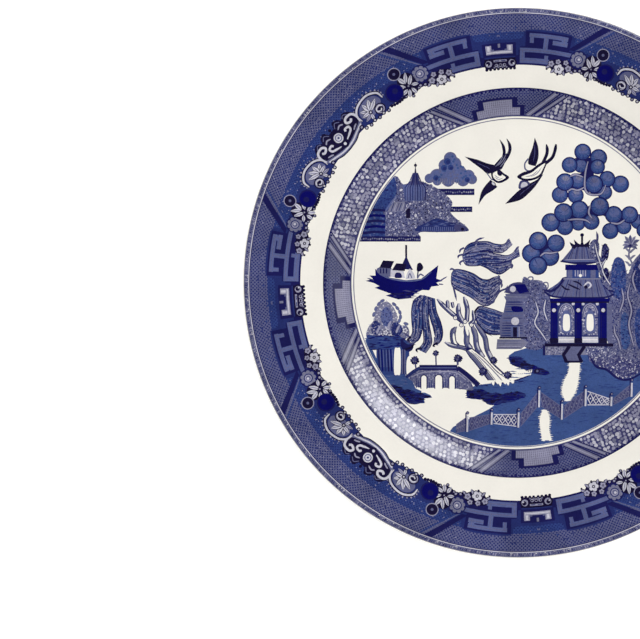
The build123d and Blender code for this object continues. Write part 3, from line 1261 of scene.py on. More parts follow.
def island_shore(ink, chance):
    """The dark bank on the left of the island, its door and blossom, and the jetty."""
    ink.area([(-78, 35), (-64.6, 35.4), (-62.6, 30), (-63.0, 20.8), (-78, 20.8)], "cobalt")
    for x, y in strewn(chance, [(-78, 34.4), (-64, 34.4), (-63, 21.4), (-78, 21.4)], 1.35):
        ink.disc((x, y), 0.55, chance.choice(("steel", "wash", "deep", "slate")), 6, 0.7)
    for k in range(6):
        y = 34.2 - 2.6 * k
        ink.curve([(-78, y), (-73, y - 0.3), (-68, y + 0.3), (-62.8, y)], 1.2, ("navy", "royal")[k % 2])
    ink.line([(-52.0, 35.2), (-52.0, 30.6)], 2.0, "black")
    ink.line([(-50.6, 37.4), (-54.2, 33.2)], 1.1, "lilac", 0.4, 0.4)
    for x, y, radius in (
        (-55.3, 43.9, 0.9), (-60.2, 32.9, 0.8), (-48.4, 31.8, 1.0), (-38.2, 35.6, 0.8),
        (-37.4, 30.0, 0.7), (-51.0, 37.4, 0.7),
    ):
        ink.disc((x, y), radius * 1.3, "dusk", 7, 0.8, 30)
        ink.disc((x, y), radius, "mist", 5, 0.7, chance.uniform(0, 90))
    wedge = [
        (-48, 26.2), (-43, 28.6), (-38.6, 30.6), (-34, 29.2), (-28.4, 27.6), (-24.0, 25.8), (-25.4, 24.2),
        (-46.6, 24.2),
    ]
    ink.blob(wedge, "deep")
    streaks(
        ink, chance, [(-46, 26.6), (-38, 29.6), (-30, 27.6), (-28, 26.6)], ("navy", "cobalt", "steel"),
        1.1, 2.4, 0.55,
    )
    for x in np.arange(-45.4, -27.6, 0.95):
        ink.line([(x, 24.5), (x + 0.3, 26.4)], 0.4, "steel")
    ink.blob([(-29.4, 27.8), (-24.4, 26.2), (-25.2, 24.3), (-29.8, 24.8)], "dusk")
    ink.disc((-26.2, 25.4), 0.8, "black", 8)
    beaded_shore(ink, chance, -78.0, 19.5, -46.0, 22.0)


def hull(ink, chance):
    """The boat's hull with its own dark reflection."""
    ink.area([
        (-72.2, 0.9), (-68.6, 1.8), (-70.2, 3.4), (-67.4, 3.4), (-67.6, 6.6), (-65.8, 5.0), (-60.6, 2.4),
        (-53.0, 1.2), (-45.8, 1.9), (-41.4, 5.4), (-37.7, 8.3), (-38.6, 2.0), (-35.6, 0.9), (-38.6, 0.0),
        (-37.2, -1.4), (-41.0, -1.8), (-42.0, -3.6), (-45.2, -3.4), (-47.8, -4.6), (-51.4, -7.4),
        (-56.6, -7.9), (-62.6, -6.1), (-60.0, -5.2), (-64.0, -3.8), (-67.8, -2.4), (-65.6, -1.6),
        (-68.0, -0.2),
    ], "royal")
    streaks(
        ink, chance, [(-62, -4.6), (-46, -3.2), (-50, -7.2), (-57, -7.8)], ("navy", "dusk", "black"), 1.2,
        3.0, 0.5,
    )
    ink.curve([(-65.6, 4.0), (-60.6, 2.0), (-53.0, 0.8), (-45.8, 1.6), (-41.0, 5.0)], 0.6, "steel", 0.4, 0.4)


def cabins(ink):
    """What stands on the boat: a mast, two cabins, a door and the steersman's seat."""
    ink.line([(-52.9, 17.9), (-52.9, 8.0)], 0.95, "black")
    ink.sliver(
        [(-52.9, 13.0), (-54.6, 9.0), (-55.0, 6.6)], [(-52.9, 13.0), (-51.2, 9.0), (-49.6, 6.0)], "navy",
    )
    ink.blob([(-66.4, 7.0), (-60.4, 7.6), (-60.2, 2.8), (-66.0, 4.4)], "slate")
    for x in (-65.0, -63.6, -62.2):
        ink.line([(x, 6.8), (x, 4.4)], 0.6, "navy")
    ink.area([(-65.6, 7.2), (-63.8, 10.6), (-58.6, 10.2), (-60.2, 6.8)], "black")
    ink.area([(-60.2, 6.4), (-54.2, 6.0), (-53.4, 2.2), (-60.4, 2.8)], "mist")
    ink.area([(-59.6, 6.0), (-57.6, 9.2), (-52.8, 8.9), (-53.6, 5.6)], "black")
    ink.blob([(-58.2, 2.4), (-57.8, 4.6), (-55.6, 4.6), (-55.0, 2.4)], "navy")
    ink.sliver([(-53.2, 1.6), (-52.4, 4.6), (-51.2, 6.8)], [(-48.4, 2.0), (-49.4, 4.6), (-51.2, 6.8)], "mist")
    ink.curve([(-52.0, 2.2), (-51.2, 4.4), (-50.2, 2.2)], 0.5, "slate")
    ink.line([(-47.6, 2.0), (-47.0, 8.6)], 0.6, "navy")
    ink.blob([(-47.8, 5.6), (-47.6, 8.8), (-46.0, 9.4), (-44.8, 7.2), (-46.0, 5.6)], "black")
    ink.curve([(-47.6, 2.2), (-46.2, 4.0), (-44.6, 3.2)], 0.7, "slate")
    wisps(ink, (
        [(-37.6, 0.6), (-35.4, 1.8), (-33.4, 3.0)], [(-37.4, -0.6), (-35.2, -0.8)],
        [(-68.2, 1.2), (-71.4, 2.2)],
    ), 0.6)


def twig(ink, chance, path, width):
    """A bare limb: grey between dark edges, with a broken white streak along its lit side."""
    ink.curve(path, width + 0.8, "navy", 0.35, 1)
    ink.curve(path, width, "slate", 0.3, 1)
    lit = smooth([(x + 0.22 * width, y + 0.12 * width) for x, y in path], 6)
    for first, last in stretches(chance, len(lit), 4, 9, gap=1):
        tone = chance.choice(("mist", "glaze", "mist", "stone"))
        ink.line(lit[first:last + 1], width * chance.uniform(0.35, 0.65), tone, 0.4, 0.3)
    shaded = [(x - 0.3 * width, y) for x, y in path]
    ink.curve(shaded, 0.3, "deep", 0.3, 0.8)


def upper_plumes(ink, chance):
    """The willow's plumes that blow to the right, in two masses."""
    plume(
        ink, chance,
        [
            (-26.2, 12.4), (-24.8, 16.6), (-21.5, 19.0), (-14.7, 19.5), (-11.0, 18.4), (-6.8, 18.2),
            (-4.0, 20.7),
        ],
        [
            (-26.2, 12.4), (-24.2, 13.4), (-20.0, 14.4), (-15.0, 15.2), (-11.2, 14.5), (-7.2, 14.4),
            (-2.6, 18.0),
        ],
        4,
    )
    plume(
        ink, chance,
        [
            (-26.4, 12.6), (-24.0, 13.7), (-19.0, 14.6), (-14.0, 14.6), (-10.0, 13.6), (-4.4, 13.0),
            (0.3, 16.6),
        ],
        [(-26.0, 10.4), (-24.4, 8.4), (-21.0, 8.0), (-17.0, 8.4), (-12.6, 8.8), (-5.4, 9.8), (1.0, 12.6)],
        4,
    )
    plume(
        ink, chance, [(-18.4, 8.9), (-14.8, 9.2), (-10.6, 9.0), (-6.4, 9.8), (-2.8, 10.6)],
        [(-18.4, 8.5), (-14.8, 7.0), (-11.6, 4.9), (-8.0, 4.2), (-3.0, 7.4)], 4, ("slate", "steel"),
        ("stone", "slate"),
    )
    wisps(ink, (
        [(-5.6, 18.2), (-4.8, 19.8), (-4.0, 21.0)], [(-1.6, 14.6), (-0.4, 16.4), (0.6, 17.2)],
        [(-3.2, 6.8), (-2.6, 8.2), (-3.6, 9.4)], [(-25.4, 16.6), (-27.2, 15.6), (-27.6, 14.0)],
        [(-25.9, 13.4), (-28.0, 12.8), (-28.4, 11.4)], [(-25.6, 10.6), (-27.4, 9.6), (-27.0, 8.2)],
        [(-20.6, 18.9), (-18.6, 20.6), (-15.8, 21.4)],
    ), 0.9)
    plume(
        ink, chance,
        [
            (-31.6, 4.0), (-29.8, 6.2), (-25.8, 5.9), (-21.0, 4.2), (-17.4, 1.9), (-14.2, 1.4),
            (-11.4, 2.6), (-8.4, 3.4),
        ],
        [
            (-31.6, 3.0), (-31.0, -1.6), (-27.0, -4.4), (-22.2, -6.9), (-17.8, -10.2), (-14.2, -10.8),
            (-11.2, -8.4), (-8.4, -4.2),
        ],
        8,
    )
    wisps(ink, (
        [(-29.6, 5.6), (-31.2, 6.6), (-32.4, 6.0)], [(-30.6, -1.6), (-29.8, -5.0), (-29.0, -8.6)],
        [(-9.4, 2.4), (-7.8, 0.8), (-8.4, -1.2)], [(-14.4, -9.8), (-12.0, -9.4), (-10.6, -7.6)],
        [(-11.2, -6.2), (-8.0, -3.8), (-5.6, -2.8), (-4.8, -1.2)],
        [(-9.0, 0.6), (-7.6, -0.8), (-8.0, -2.6)],
    ), 0.9)


def hanging_plumes(ink, chance):
    """The willow's three plumes that hang on the left, and the low one beside the house."""
    hanging = (
        ([(-46.0, -5.8), (-49.2, -8.4), (-50.3, -13.0), (-50.2, -18.4), (-49.9, -23.4), (-52.0, -27.0)],
         [(-43.4, -6.2), (-44.8, -11.0), (-44.8, -17.0), (-45.4, -22.6), (-47.0, -27.0), (-49.6, -28.7)]),
        ([(-44.6, -6.0), (-45.2, -12.0), (-45.0, -19.0), (-44.7, -24.2), (-44.7, -28.2), (-47.4, -31.6)],
         [(-41.4, -6.8), (-42.4, -13.0), (-42.0, -19.6), (-41.1, -24.8), (-40.9, -29.0), (-43.6, -33.4)]),
        ([(-42.4, -6.6), (-42.4, -12.4), (-41.0, -18.4), (-39.8, -23.0), (-39.5, -26.6), (-40.0, -29.2)],
         [(-39.4, -7.4), (-38.6, -13.4), (-36.5, -18.9), (-35.6, -23.6), (-36.4, -27.4), (-38.4, -29.6)]),
    )
    for one, other in hanging:
        plume(ink, chance, one, other, 3, ("wash", "cobalt", "steel", "deep"), ("steel", "slate", "deep"))
    ink.sliver(
        [(-42.4, -16.0), (-41.3, -20.4), (-40.3, -26.0)],
        [(-42.4, -16.0), (-40.6, -20.4), (-39.3, -25.6)], "glaze",
    )
    wisps(ink, (
        [(-50.6, -25.6), (-52.2, -27.0), (-51.0, -27.8)], [(-45.6, -30.8), (-48.0, -31.6), (-47.4, -33.0)],
        [(-38.0, -28.4), (-40.0, -29.6), (-39.2, -30.4)],
    ), 0.95, "black")
    plume(
        ink, chance, [(-20.2, -14.2), (-18.4, -11.2), (-12.6, -12.4), (-6.0, -14.6)],
        [(-20.2, -15.2), (-18.6, -20.2), (-13.0, -24.3), (-6.0, -24.4)], 7, ("wash", "cobalt", "steel"),
        ("cobalt", "slate", "steel"),
    )
    wisps(ink, (
        [(-18.8, -19.6), (-16.2, -22.8), (-12.0, -25.4)],
        [(-18.6, -11.4), (-20.4, -13.8), (-20.0, -17.4)],
    ), 0.8, "black")


def willow_limbs(ink, chance):
    """The willow's bare limbs and the knots where they meet."""
    for path, width in (
        ([(-38.2, -7.8), (-35.7, -10.4), (-31.9, -14.0), (-28.3, -16.8), (-25.4, -19.0)], 1.4),
        ([(-33.4, -8.2), (-33.2, -11.8)], 1.0), ([(-25.6, -6.6), (-24.0, -12.2), (-24.3, -18.4)], 1.5),
        ([(-28.1, -9.8), (-28.0, -14.6), (-25.6, -19.4)], 1.6), ([(-30.6, -12.0), (-31.2, -9.2)], 0.8),
        ([(-21.4, -13.0), (-20.8, -17.6), (-23.0, -19.8)], 1.1),
        ([(-25.1, -20.4), (-24.2, -24.6), (-24.2, -28.4), (-22.4, -31.4)], 2.0),
        ([(-22.2, -19.6), (-20.2, -24.4), (-19.4, -30.4), (-16.6, -35.6)], 1.9),
        ([(-20.6, -19.0), (-15.8, -25.6), (-14.6, -31.6), (-12.0, -37.0)], 1.7),
        ([(-29.4, -21.0), (-30.8, -23.6), (-30.4, -28.0), (-28.6, -30.2)], 2.0),
        ([(-34.6, -28.2), (-31.0, -29.8), (-25.6, -30.9), (-21.0, -33.0)], 1.3),
    ):
        twig(ink, chance, path, width)
    for x, y in ((-26.8, -20.0), (-22.0, -20.0), (-25.0, -18.4), (-29.6, -16.6)):
        ink.rings((x, y), (1.15, "dusk", 9), (0.75, "glaze", 8), (0.25, "slate", 5))


def willow_trunk(ink):
    """The willow's white leaning trunk, which ends in pointed roots at the water."""
    ink.sliver(
        [(-25.2, -31.0), (-20.8, -35.6), (-16.6, -41.4), (-11.6, -47.6)],
        [(-21.6, -30.8), (-15.4, -36.0), (-9.4, -42.2), (-2.4, -47.2)], "navy",
    )
    ink.sliver(
        [(-23.4, -32.0), (-18.4, -36.8), (-13.4, -43.2), (-10.4, -47.2)],
        [(-21.8, -31.4), (-15.6, -36.4), (-9.6, -42.6), (-2.6, -47.0)], "glaze",
    )
    for shift, width, tone in (
        (0.0, 2.4, "navy"), (0.2, 1.6, "slate"), (0.9, 0.5, "stone"), (2.2, 0.35, "stone"),
    ):
        shaded = [
            (-24.2 + shift, -32.2), (-19.8 + shift, -37.0), (-15.2 + shift, -43.0),
            (-12.2 + shift, -47.0),
        ]
        ink.curve(shaded, width, tone, 0.5, 0.6)
    ink.curve([(-20.4, -33.2), (-14.6, -38.6), (-9.0, -44.6), (-7.4, -46.6)], 0.5, "stone", 0.4, 0.4)
    ink.curve([(-12.6, -37.6), (-9.0, -41.0), (-5.6, -44.0)], 0.8, "navy", 0.6, 0.6)
    for x, reach in (
        (-13.6, 0.9), (-12.0, 1.9), (-9.9, 1.2), (-8.7, 2.3), (-6.4, 1.3), (-5.0, 1.9), (-2.8, 1.0),
    ):
        tip = (x + 0.5, -46.8 - reach)
        ink.sliver(
            [(x - 1.0, -46.2), (x - 0.2, -46.8 - 0.6 * reach), tip],
            [(x + 1.1, -46.2), (x + 0.9, -46.8 - 0.5 * reach), tip], "glaze",
        )


def small_bushes(ink, chance):
    """The round bushes along the bridge and under the willow, three of them on stalks."""
    for x, y, size in (
        (-11.5, -36.8, 1.8), (-4.8, -43.8, 1.9), (-16.5, -42.0, 2.2), (-48.8, -36.8, 2.1),
        (-38.9, -33.4, 1.5), (-28.4, -35.9, 2.1),
    ):
        shrub(ink, chance, x, y, size)
    ink.line([(-38.9, -34.4), (-38.7, -38.9)], 0.7, "dusk")
    ink.line([(-28.4, -37.6), (-28.6, -39.0)], 0.9, "dusk")
    ink.line([(-48.6, -38.4), (-48.2, -41.0)], 0.7, "dusk")


def small_house(ink, chance):
    """The narrow house beside the willow."""
    foliage(ink, chance, [
        (2, 0.6), (6, 1.2), (11.2, 0.8), (14.6, -4), (15.8, -12), (15.4, -29), (2, -29),
    ], "slate", ("navy", "deep", "black", "deep", "dusk", "lilac", "steel"), 0.85)
    ink.curve([(11.4, -3.6), (11.8, -0.4), (14.0, 0.0), (14.2, -2.4), (12.6, -2.6)], 0.6, "slate")
    ink.curve([(4.4, -0.4), (5.0, 2.4), (7.0, 2.6), (7.0, 0.8)], 0.6, "slate")
    for path in ([
        (8.4, -9.0), (9.6, -14.0), (8.0, -19.0), (11.0, -23.6), (13.6, -27.4),
    ], [(13.2, -8.0), (12.4, -13.0), (14.0, -18.0)]):
        cased(ink, path, 1.3, 0.6, "deep", "mist", 0.4, 0.5)
    ink.area([
        (-6.6, -6.4), (-5.6, -8.4), (-6.8, -14.0), (-8.6, -17.6), (-8.4, -26.2), (3.2, -26.2),
        (2.6, -6.0),
    ], "slate")
    for high, high_left, low, low_left, count in (
        (-15.0, -7.0, -25.6, -8.0, 9), (-8.6, -5.2, -14.2, -6.4, 5),
    ):
        edges = ([(high_left, high), (2.4, high)], [(low_left, low), (2.4, low)])
        broken_strokes(ink, chance, *edges, count, 0.55, ("cobalt", "deep", "steel", "dusk"), 0.1)
    ink.sliver([
        (-6.6, -4.6), (-3.4, -0.6), (1.6, 0.2), (4.4, -2.4), (5.8, -5.4),
    ], [(-6.6, -4.6), (-2.0, -5.4), (5.8, -5.4)], "dusk")
    ink.area([(-6.0, -5.2), (5.4, -5.4), (4.0, -8.0), (-5.4, -8.0)], "slate")
    ink.line([(-5.8, -6.6), (4.4, -6.8)], 0.4, "stone")
    ink.disc((-2.4, -3.0), 1.45, "mist", 12)
    ink.area([(-1.8, -0.9), (3.4, -0.6), (5.2, -4.2), (0.8, -5.2), (-0.6, -3.4)], "royal")
    ink.blob([(-3.0, -11.2), (1.4, -11.4), (2.4, -13.4), (-2.0, -13.8)], "royal")
    ink.disc((-1.3, -18.2), 1.9, "mist", 14)
    ink.box(-3.4, -25.6, 0.9, -20.6, "steel")
    ink.box(-2.3, -25.6, -0.4, -21.0, "black")
    ink.line([(0.6, -20.8), (0.6, -25.6)], 0.4, "lilac")
    ink.box(-8.8, -26.5, 4.4, -25.7, "black")
    ink.area([(-9.8, -26.7), (2.4, -26.7), (5.0, -28.4), (1.6, -31.4), (-10.2, -31.4)], "stone")
    edges = ([(-9.6, -27.2), (2.0, -27.2)], [(-9.8, -31.2), (1.4, -31.2)])
    broken_strokes(ink, chance, *edges, 6, 0.5, ("slate", "lilac", "dusk"), 0.2)


def ridged_roof(ink, ridge, eaves, ground, ribs):
    """A roof between its ridge and its eaves, with ribs down its slope and a dark edge."""
    ink.sliver(ridge, eaves, ground)
    high, low = smooth(ridge, 8), smooth(eaves, 8)
    for k in range(1, ribs):
        a = high[round(k * (len(high) - 1) / ribs)]
        b = low[round(k * (len(low) - 1) / ribs)]
        ink.line([a, b], 0.4, ("deep", "dusk", "steel")[k % 3])
    ink.curve(eaves, 0.9, "navy")
    ink.curve(ridge, 0.6, "navy")


def arched_window(ink, chance, x):
    """A latticed window under an arch, with a light slit and a plinth. x is its middle."""
    arch = [
        (x - 3.7, -24.9), (x - 3.7, -13.4), (x - 2.4, -10.4), (x, -9.4), (x + 2.4, -10.4),
        (x + 3.7, -13.4), (x + 3.7, -24.9),
    ]
    ink.area(arch, "slate")
    lattice = [(x - 3.5, -24.7), (x - 3.5, -13.6), (x, -10.6), (x + 3.5, -13.6), (x + 3.5, -24.7)]
    for spot in strewn(chance, lattice, 0.85):
        ink.disc(spot, chance.uniform(0.3, 0.5), chance.choice(("deep", "stone", "lilac", "mist")), 5)
    bow = [(x - 3.2, -14.6), (x - 2.2, -11.6), (x, -10.4), (x + 2.2, -11.6), (x + 3.2, -14.6)]
    ink.curve(bow, 1.1, "lilac")
    ink.curve(bow, 0.35, "deep")
    ink.blob([(x - 2.1, -22.9), (x - 2.1, -15.2), (x, -13.0), (x + 2.1, -15.2), (x + 2.1, -22.9)], "steel")
    ink.blob([
        (x - 1.45, -22.2), (x - 1.45, -15.8), (x, -14.8), (x + 1.45, -15.8), (x + 1.45, -22.2),
    ], "glaze")
    ink.box(x - 3.8, -28.4, x + 3.8, -25.6, "mist")
    ink.line([(x - 3.6, -27.0), (x + 3.6, -27.0)], 0.3, "glaze")


def tea_house_foundation(ink, chance):
    """The tea house's pale footing, the bank beside it and its bent steps."""
    ink.box(12.0, -34.2, 44.0, -29.6, "stone")
    for x, y in strewn(chance, [(13, -34), (22.4, -34), (22.4, -30.4), (13, -30.4)], 0.85):
        ink.disc((x, y), 0.38, chance.choice(("lilac", "slate", "dusk")), 6)
    foliage(
        ink, chance, [(33.0, -30.4), (45.0, -30.0), (46.0, -34.0), (42.0, -36.0), (33.4, -34.6)],
        "slate", ("mist", "deep", "navy", "lilac"), 0.9,
    )
    ink.box(11.8, -34.4, 13.0, -29.6, "navy")
    ink.area([
        (23.0, -30.0), (32.0, -30.0), (29.4, -34.6), (30.2, -37.6), (24.0, -37.6), (21.6, -34.4),
    ], "slate")
    for x in (24.4, 31.6):
        ink.line([(x, -30.0), (x - 2.8, -34.2), (x - 1.4, -37.6)], 1.7, "black")
    ink.box(22.6, -37.9, 30.4, -36.9, "black")


def tea_house_front(ink, chance):
    """The tea house's lower storey: two arched windows between dark columns."""
    ink.box(15.4, -29.0, 42.2, -8.0, "deep")
    for x in (23.0, 34.2):
        arched_window(ink, chance, x)
    for x in (17.1, 28.6, 40.4):
        ink.box(x - 1.55, -28.4, x + 1.55, -9.6, "royal")
        ink.line([(x - 0.9, -15.0), (x - 0.9, -27.6)], 0.3, "navy")
        ink.rings((x, -13.0), (1.25, "black", 10), (0.95, "mist", 10))
        ink.box(x - 1.9, -28.6, x + 1.9, -26.2, "black")
    for x in (19.2, 26.2, 30.9, 37.6):
        ink.disc((x, -10.0), 0.75, "mist", 8)
    ink.box(42.2, -27.6, 44.6, -10.0, "slate")
    ink.box(12.6, -30.2, 45.2, -28.7, "black")


def tea_house_lower_roof(ink):
    """The tea house's broad, upswept lower roof, with its curl and dark strokes."""
    ridged_roof(
        ink, [(20.6, 0.6), (22.0, 2.4), (30.0, 2.6), (38.0, 2.6), (40.0, 0.4)],
        [(12.4, -4.2), (17.0, -6.6), (29.0, -7.2), (41.0, -7.0), (45.6, -5.4)], "slate", 26,
    )
    ink.line([(21.6, 1.9), (39.2, 1.9)], 0.7, "stone")
    ink.curve([(11.6, -3.2), (15.6, -4.0), (19.0, -2.0), (21.6, 1.6)], 1.1, "navy", 0.3, 0.8)
    ink.curve([(39.4, 1.6), (42.2, -2.6), (46.0, -4.6)], 1.1, "navy", 0.8, 0.3)
    for path in (
        [(23.6, -0.6), (26.6, -2.0), (29.4, -3.2)], [(20.4, -1.0), (22.4, -2.8), (24.8, -3.4)],
        [(26.0, 0.8), (28.6, 0.0), (30.4, -1.6)],
    ):
        ink.curve(path, 0.8, "black", 0.3, 0.3)
    ink.curve([(31.2, -1.6), (33.2, 0.2), (34.6, -1.2), (33.4, -2.6)], 0.8, "mist", 0.4, 0.6)
    ink.disc((32.2, -2.0), 0.9, "black", 8)
    ink.area([(15.0, -7.4), (43.6, -7.4), (43.2, -9.4), (15.4, -9.4)], "royal")
    ink.line([(15.4, -9.2), (43.2, -9.2)], 0.7, "black")


def tea_house_upper_tier(ink):
    """The tea house's small upper storey, its roof and the spiked finial."""
    ink.box(23.0, 2.2, 38.4, 8.6, "cobalt")
    ink.box(22.4, 6.0, 38.4, 8.6, "royal")
    for x in (24.6, 35.6):
        ink.box(x - 1.2, 2.4, x + 1.2, 6.0, "slate")
    for x in (27.2, 28.4, 29.6, 30.8, 32.0):
        ink.line([(x, 5.9), (x, 3.0)], 0.55, "lilac")
    ink.disc((29.6, 3.4), 0.8, "glaze", 8)
    ridged_roof(
        ink, [(25.6, 16.4), (27.2, 18.0), (30.4, 17.2), (33.2, 18.0), (35.2, 16.2)],
        [(20.8, 10.6), (25.0, 9.6), (30.4, 9.4), (36.0, 9.6), (40.4, 11.0)], "slate", 18,
    )
    ink.line([(21.6, 10.4), (39.6, 10.6)], 1.3, "steel")
    ink.line([(22.4, 10.9), (38.8, 11.1)], 0.4, "lilac")
    ink.curve([(20.2, 10.2), (30.4, 8.9), (40.8, 10.4)], 0.8, "navy")
    ink.sliver(
        [(26.0, 17.0), (29.2, 17.6), (30.4, 21.2)], [(35.0, 17.0), (31.6, 17.6), (30.4, 21.2)], "black",
    )
    ink.line([(30.4, 17.0), (30.4, 22.6)], 1.0, "black")
    ink.disc((30.4, 22.6), 0.95, "black", 8)
    for side in (-1, 1):
        for near, far, foot, tip in ((0.4, 3.4, 17.0, 20.6), (2.2, 5.4, 16.4, 19.4)):
            point = (30.4 + (far + 0.6) * side, tip)
            high = [(30.4 + near * side, foot + 1.0), (30.4 + (near + far) / 2 * side, foot + 1.7), point]
            low = [(30.4 + (near + 1.4) * side, foot - 0.4), (30.4 + (far - 0.2) * side, foot + 1.0), point]
            ink.sliver(high, low, "black")


def spray(ink, x, y, reach):
    """A fan of pointed leaves on a long stalk. x and y are its heart."""
    ink.curve([(x, y), (x - 0.6, y - 4.6), (x + 1.0, y - 9.0), (x + 0.2, y - 14.0)], 0.8, "slate", 0.6, 0.6)
    for k in range(9):
        a = math.radians(-24 + 28.5 * k)
        length = reach * (1.15 if k in (2, 3, 4, 5) else 0.8)
        tip = away_from((x, y), length, a)
        middle = ((x + tip[0]) / 2, (y + tip[1]) / 2 + 0.5)
        ink.curve([(x, y), middle, tip], 1.5, ("slate", "stone", "slate", "lilac")[k % 4], 0.3, 0.1)
        ink.curve([(x, y), middle, tip], 0.3, "dusk", 0.3, 0.3)
    for side in (-1, 1):
        for drop in (3.4, 6.6, 9.6):
            tip = (x + 2.6 * side, y - drop + 2.4)
            ink.curve([(x - 0.3, y - drop), (x + 1.0 * side, y - drop + 1.4), tip], 1.0, "stone", 0.4, 0.1)
    ink.disc((x, y), 1.2, "dusk", 9, 0.8, 20)
    ink.disc((x, y + 0.2), 0.5, "navy", 7)


def leafy_stem(ink, chance):
    """The slender tree against the upper tier of the tea house."""
    foliage(ink, chance, [
        (33.8, 14.4), (34.2, 18.8), (36.8, 20.6), (38.6, 17.4), (38.2, 12.6), (39.6, 8.0), (41.4, 3.0),
        (44.4, -3.4), (40.6, -1.0), (38.6, 4.6), (36.8, 9.8), (35.2, 12.2),
    ], "slate", ("black", "deep", "navy", "stone", "deep", "mist"), 0.9, 0.55)
    for clump in (
        [(39.5, 11.4), (39.9, 17.0), (41.6, 18.6), (43.1, 15.6), (42.7, 11.8), (41.2, 10.4)],
        [(40.2, 1.8), (40.6, 6.4), (42.4, 6.8), (43.3, 3.6), (42.2, 1.2)],
    ):
        foliage(ink, chance, clump, "navy", ("black", "dusk", "black", "slate"), 1.0, 0.65)
    ink.curve([(37.2, 24.4), (37.7, 21.4), (37.0, 17.6)], 1.1, "dusk", 0.1, 0.8)
    for path in ([
        (41.8, 11.4), (40.0, 8.4), (40.2, 5.4), (41.8, 2.0), (43.8, -1.0),
    ], [(36.6, 18.4), (37.4, 14.4), (38.8, 10.0), (40.0, 6.6)]):
        cased(ink, path, 1.3, 0.6, "navy", "mist", 0.4, 0.6)


def right_bank_trees(ink, chance):
    """Tall trees in blossom to the right of the tea house."""
    foliage(ink, chance, [
        (43.6, 3.0), (45.4, 10.4), (47.6, 12.2), (50.4, 10.0), (52.0, 4.0), (54.6, 10.0), (58.6, 14.4),
        (63.6, 16.6), (69, 14), (75, 18), (79, -2), (74, -30), (60, -37), (45, -33), (42, -22),
        (42.4, -8),
    ], "slate", ("deep", "navy", "lilac", "dusk", "deep", "stone"), 0.95, 0.55)
    for outline, ground, tones in (
        ([
            (44.4, -4), (44.8, 8), (47.4, 12), (50.4, 9), (51.2, 0), (49, -8),
        ], "cobalt", ("steel", "slate", "navy", "wash")),
        ([
            (54.2, 2), (57, 11.4), (63.4, 15.6), (70, 12), (73.6, 0), (70, -10), (60, -7),
        ], "deep", ("cobalt", "slate", "navy", "steel")),
        ([(48.6, -20), (50, -14), (52.6, -17), (53, -29), (49.6, -31)], "wash", ("deep", "steel", "navy")),
        ([
            (56, -14), (62, -10), (72, -12), (74, -28), (62, -34), (56, -28),
        ], "cobalt", ("deep", "steel", "slate", "navy")),
    ):
        foliage(ink, chance, outline, ground, tones, 1.15, 0.65)
    for x, y in (
        (58.4, 7.6), (64.6, 10.8), (69.6, 6.4), (61.4, 1.6), (67.0, -0.8), (60.6, -5.6), (71.4, -5.4),
    ):
        blossom(ink, x, y, 1.5)
    for x, y in ((53.2, 17.4), (62.6, 20.6), (69.6, 17.6)):
        spray(ink, x, y, 4.6)
    for path in (
        [(53.2, 0.0), (52.0, -6.0), (53.8, -13.0), (52.6, -20.0), (54.8, -29.6)],
        [(49.2, -2.6), (50.0, -8.0), (48.2, -14.0)],
        [(45.6, -20.6), (46.0, -24.0), (47.6, -27.2), (48.6, -31.6)],
        [(55.6, 6.0), (54.4, 1.6), (56.0, -4.0)], [(58.0, -12.0), (59.6, -18.0), (58.2, -25.0)],
        [(43.8, 5.6), (42.6, 0.6), (44.2, -3.0)], [(66.0, -14.0), (64.6, -20.0), (66.4, -27.0)],
    ):
        ink.curve(path, 1.5, "navy", 0.4, 0.5)
        ink.curve(path, 0.75, "lilac", 0.4, 0.6)


def near_ground(ink, chance):
    """The mid-blue land and its dark shores."""
    ink.area([
        (-4.4, -34.6), (-1.6, -32.6), (4.4, -30.8), (11.8, -28.6), (46, -28.6), (78, -20), (78, -80),
        (-40, -80), (-30.6, -68.2), (-22.8, -64.4), (-13.2, -59.6), (-10.8, -57.6), (-14.4, -56.8),
        (-16.8, -55.0), (-23.4, -54.4), (-23.6, -50.2), (-19.4, -48.4), (-10.8, -47.4), (-2.8, -46.6),
        (3.2, -44.8), (6.2, -43.6), (6.4, -42.4), (3.4, -41.2), (0.4, -40.2), (-3.6, -38.4),
    ], "wash")
    land = [
        (-20, -49), (14, -33), (44, -32), (66, -26), (72, -36), (44, -62), (10, -76), (-10, -76),
        (-26, -68), (-10, -56),
    ]
    streaks(ink, chance, land, ("cobalt", "cobalt", "wash"), 2.4, 3.4, 0.5)
    shade_of = (
        [
            (-4.4, -35.4), (-2.4, -39.0), (2, -40.6), (6, -42.4), (12, -43.8), (15, -42.8), (9, -40),
            (4, -37.8), (0, -35.2),
        ],
        [
            (-23.8, -50.8), (-18, -50.6), (-14, -52), (-6, -52.8), (0, -51.4), (4, -53.6), (-2, -56),
            (-6.2, -56.8), (-11.2, -58), (-14.6, -57.4), (-17, -55.4), (-23.6, -54.6),
        ],
    )
    for outline in shade_of:
        shadow(ink, chance, outline)
    for x, y, radius in (
        (2.2, -38.8, 1.2), (9.0, -41.8, 1.5), (-2.2, -37.0, 1.1), (-21.8, -53.0, 1.2),
        (-12.0, -56.2, 1.3),
    ):
        ink.disc((x, y), radius, "black", 9, 0.7)
    ink.disc((9.2, -41.8), 0.6, "slate", 8)
    ink.curve([(5.6, -43.8), (1.0, -45.6), (-2.6, -46.4)], 0.6, "navy", 0.5, 0.3)
    streaks(
        ink, chance, [(-18, -49.2), (-18, -48.2), (2, -45.6), (4, -46.8)], ("deep", "navy", "cobalt"),
        1.0, 2.2, 0.6,
    )
    for k in range(9):
        x = -1.0 + 0.9 * k
        ink.line([(x, -43.6 + 0.16 * k), (x + 0.5, -42.2 + 0.16 * k)], 0.7, "glaze", 1, 0.2)


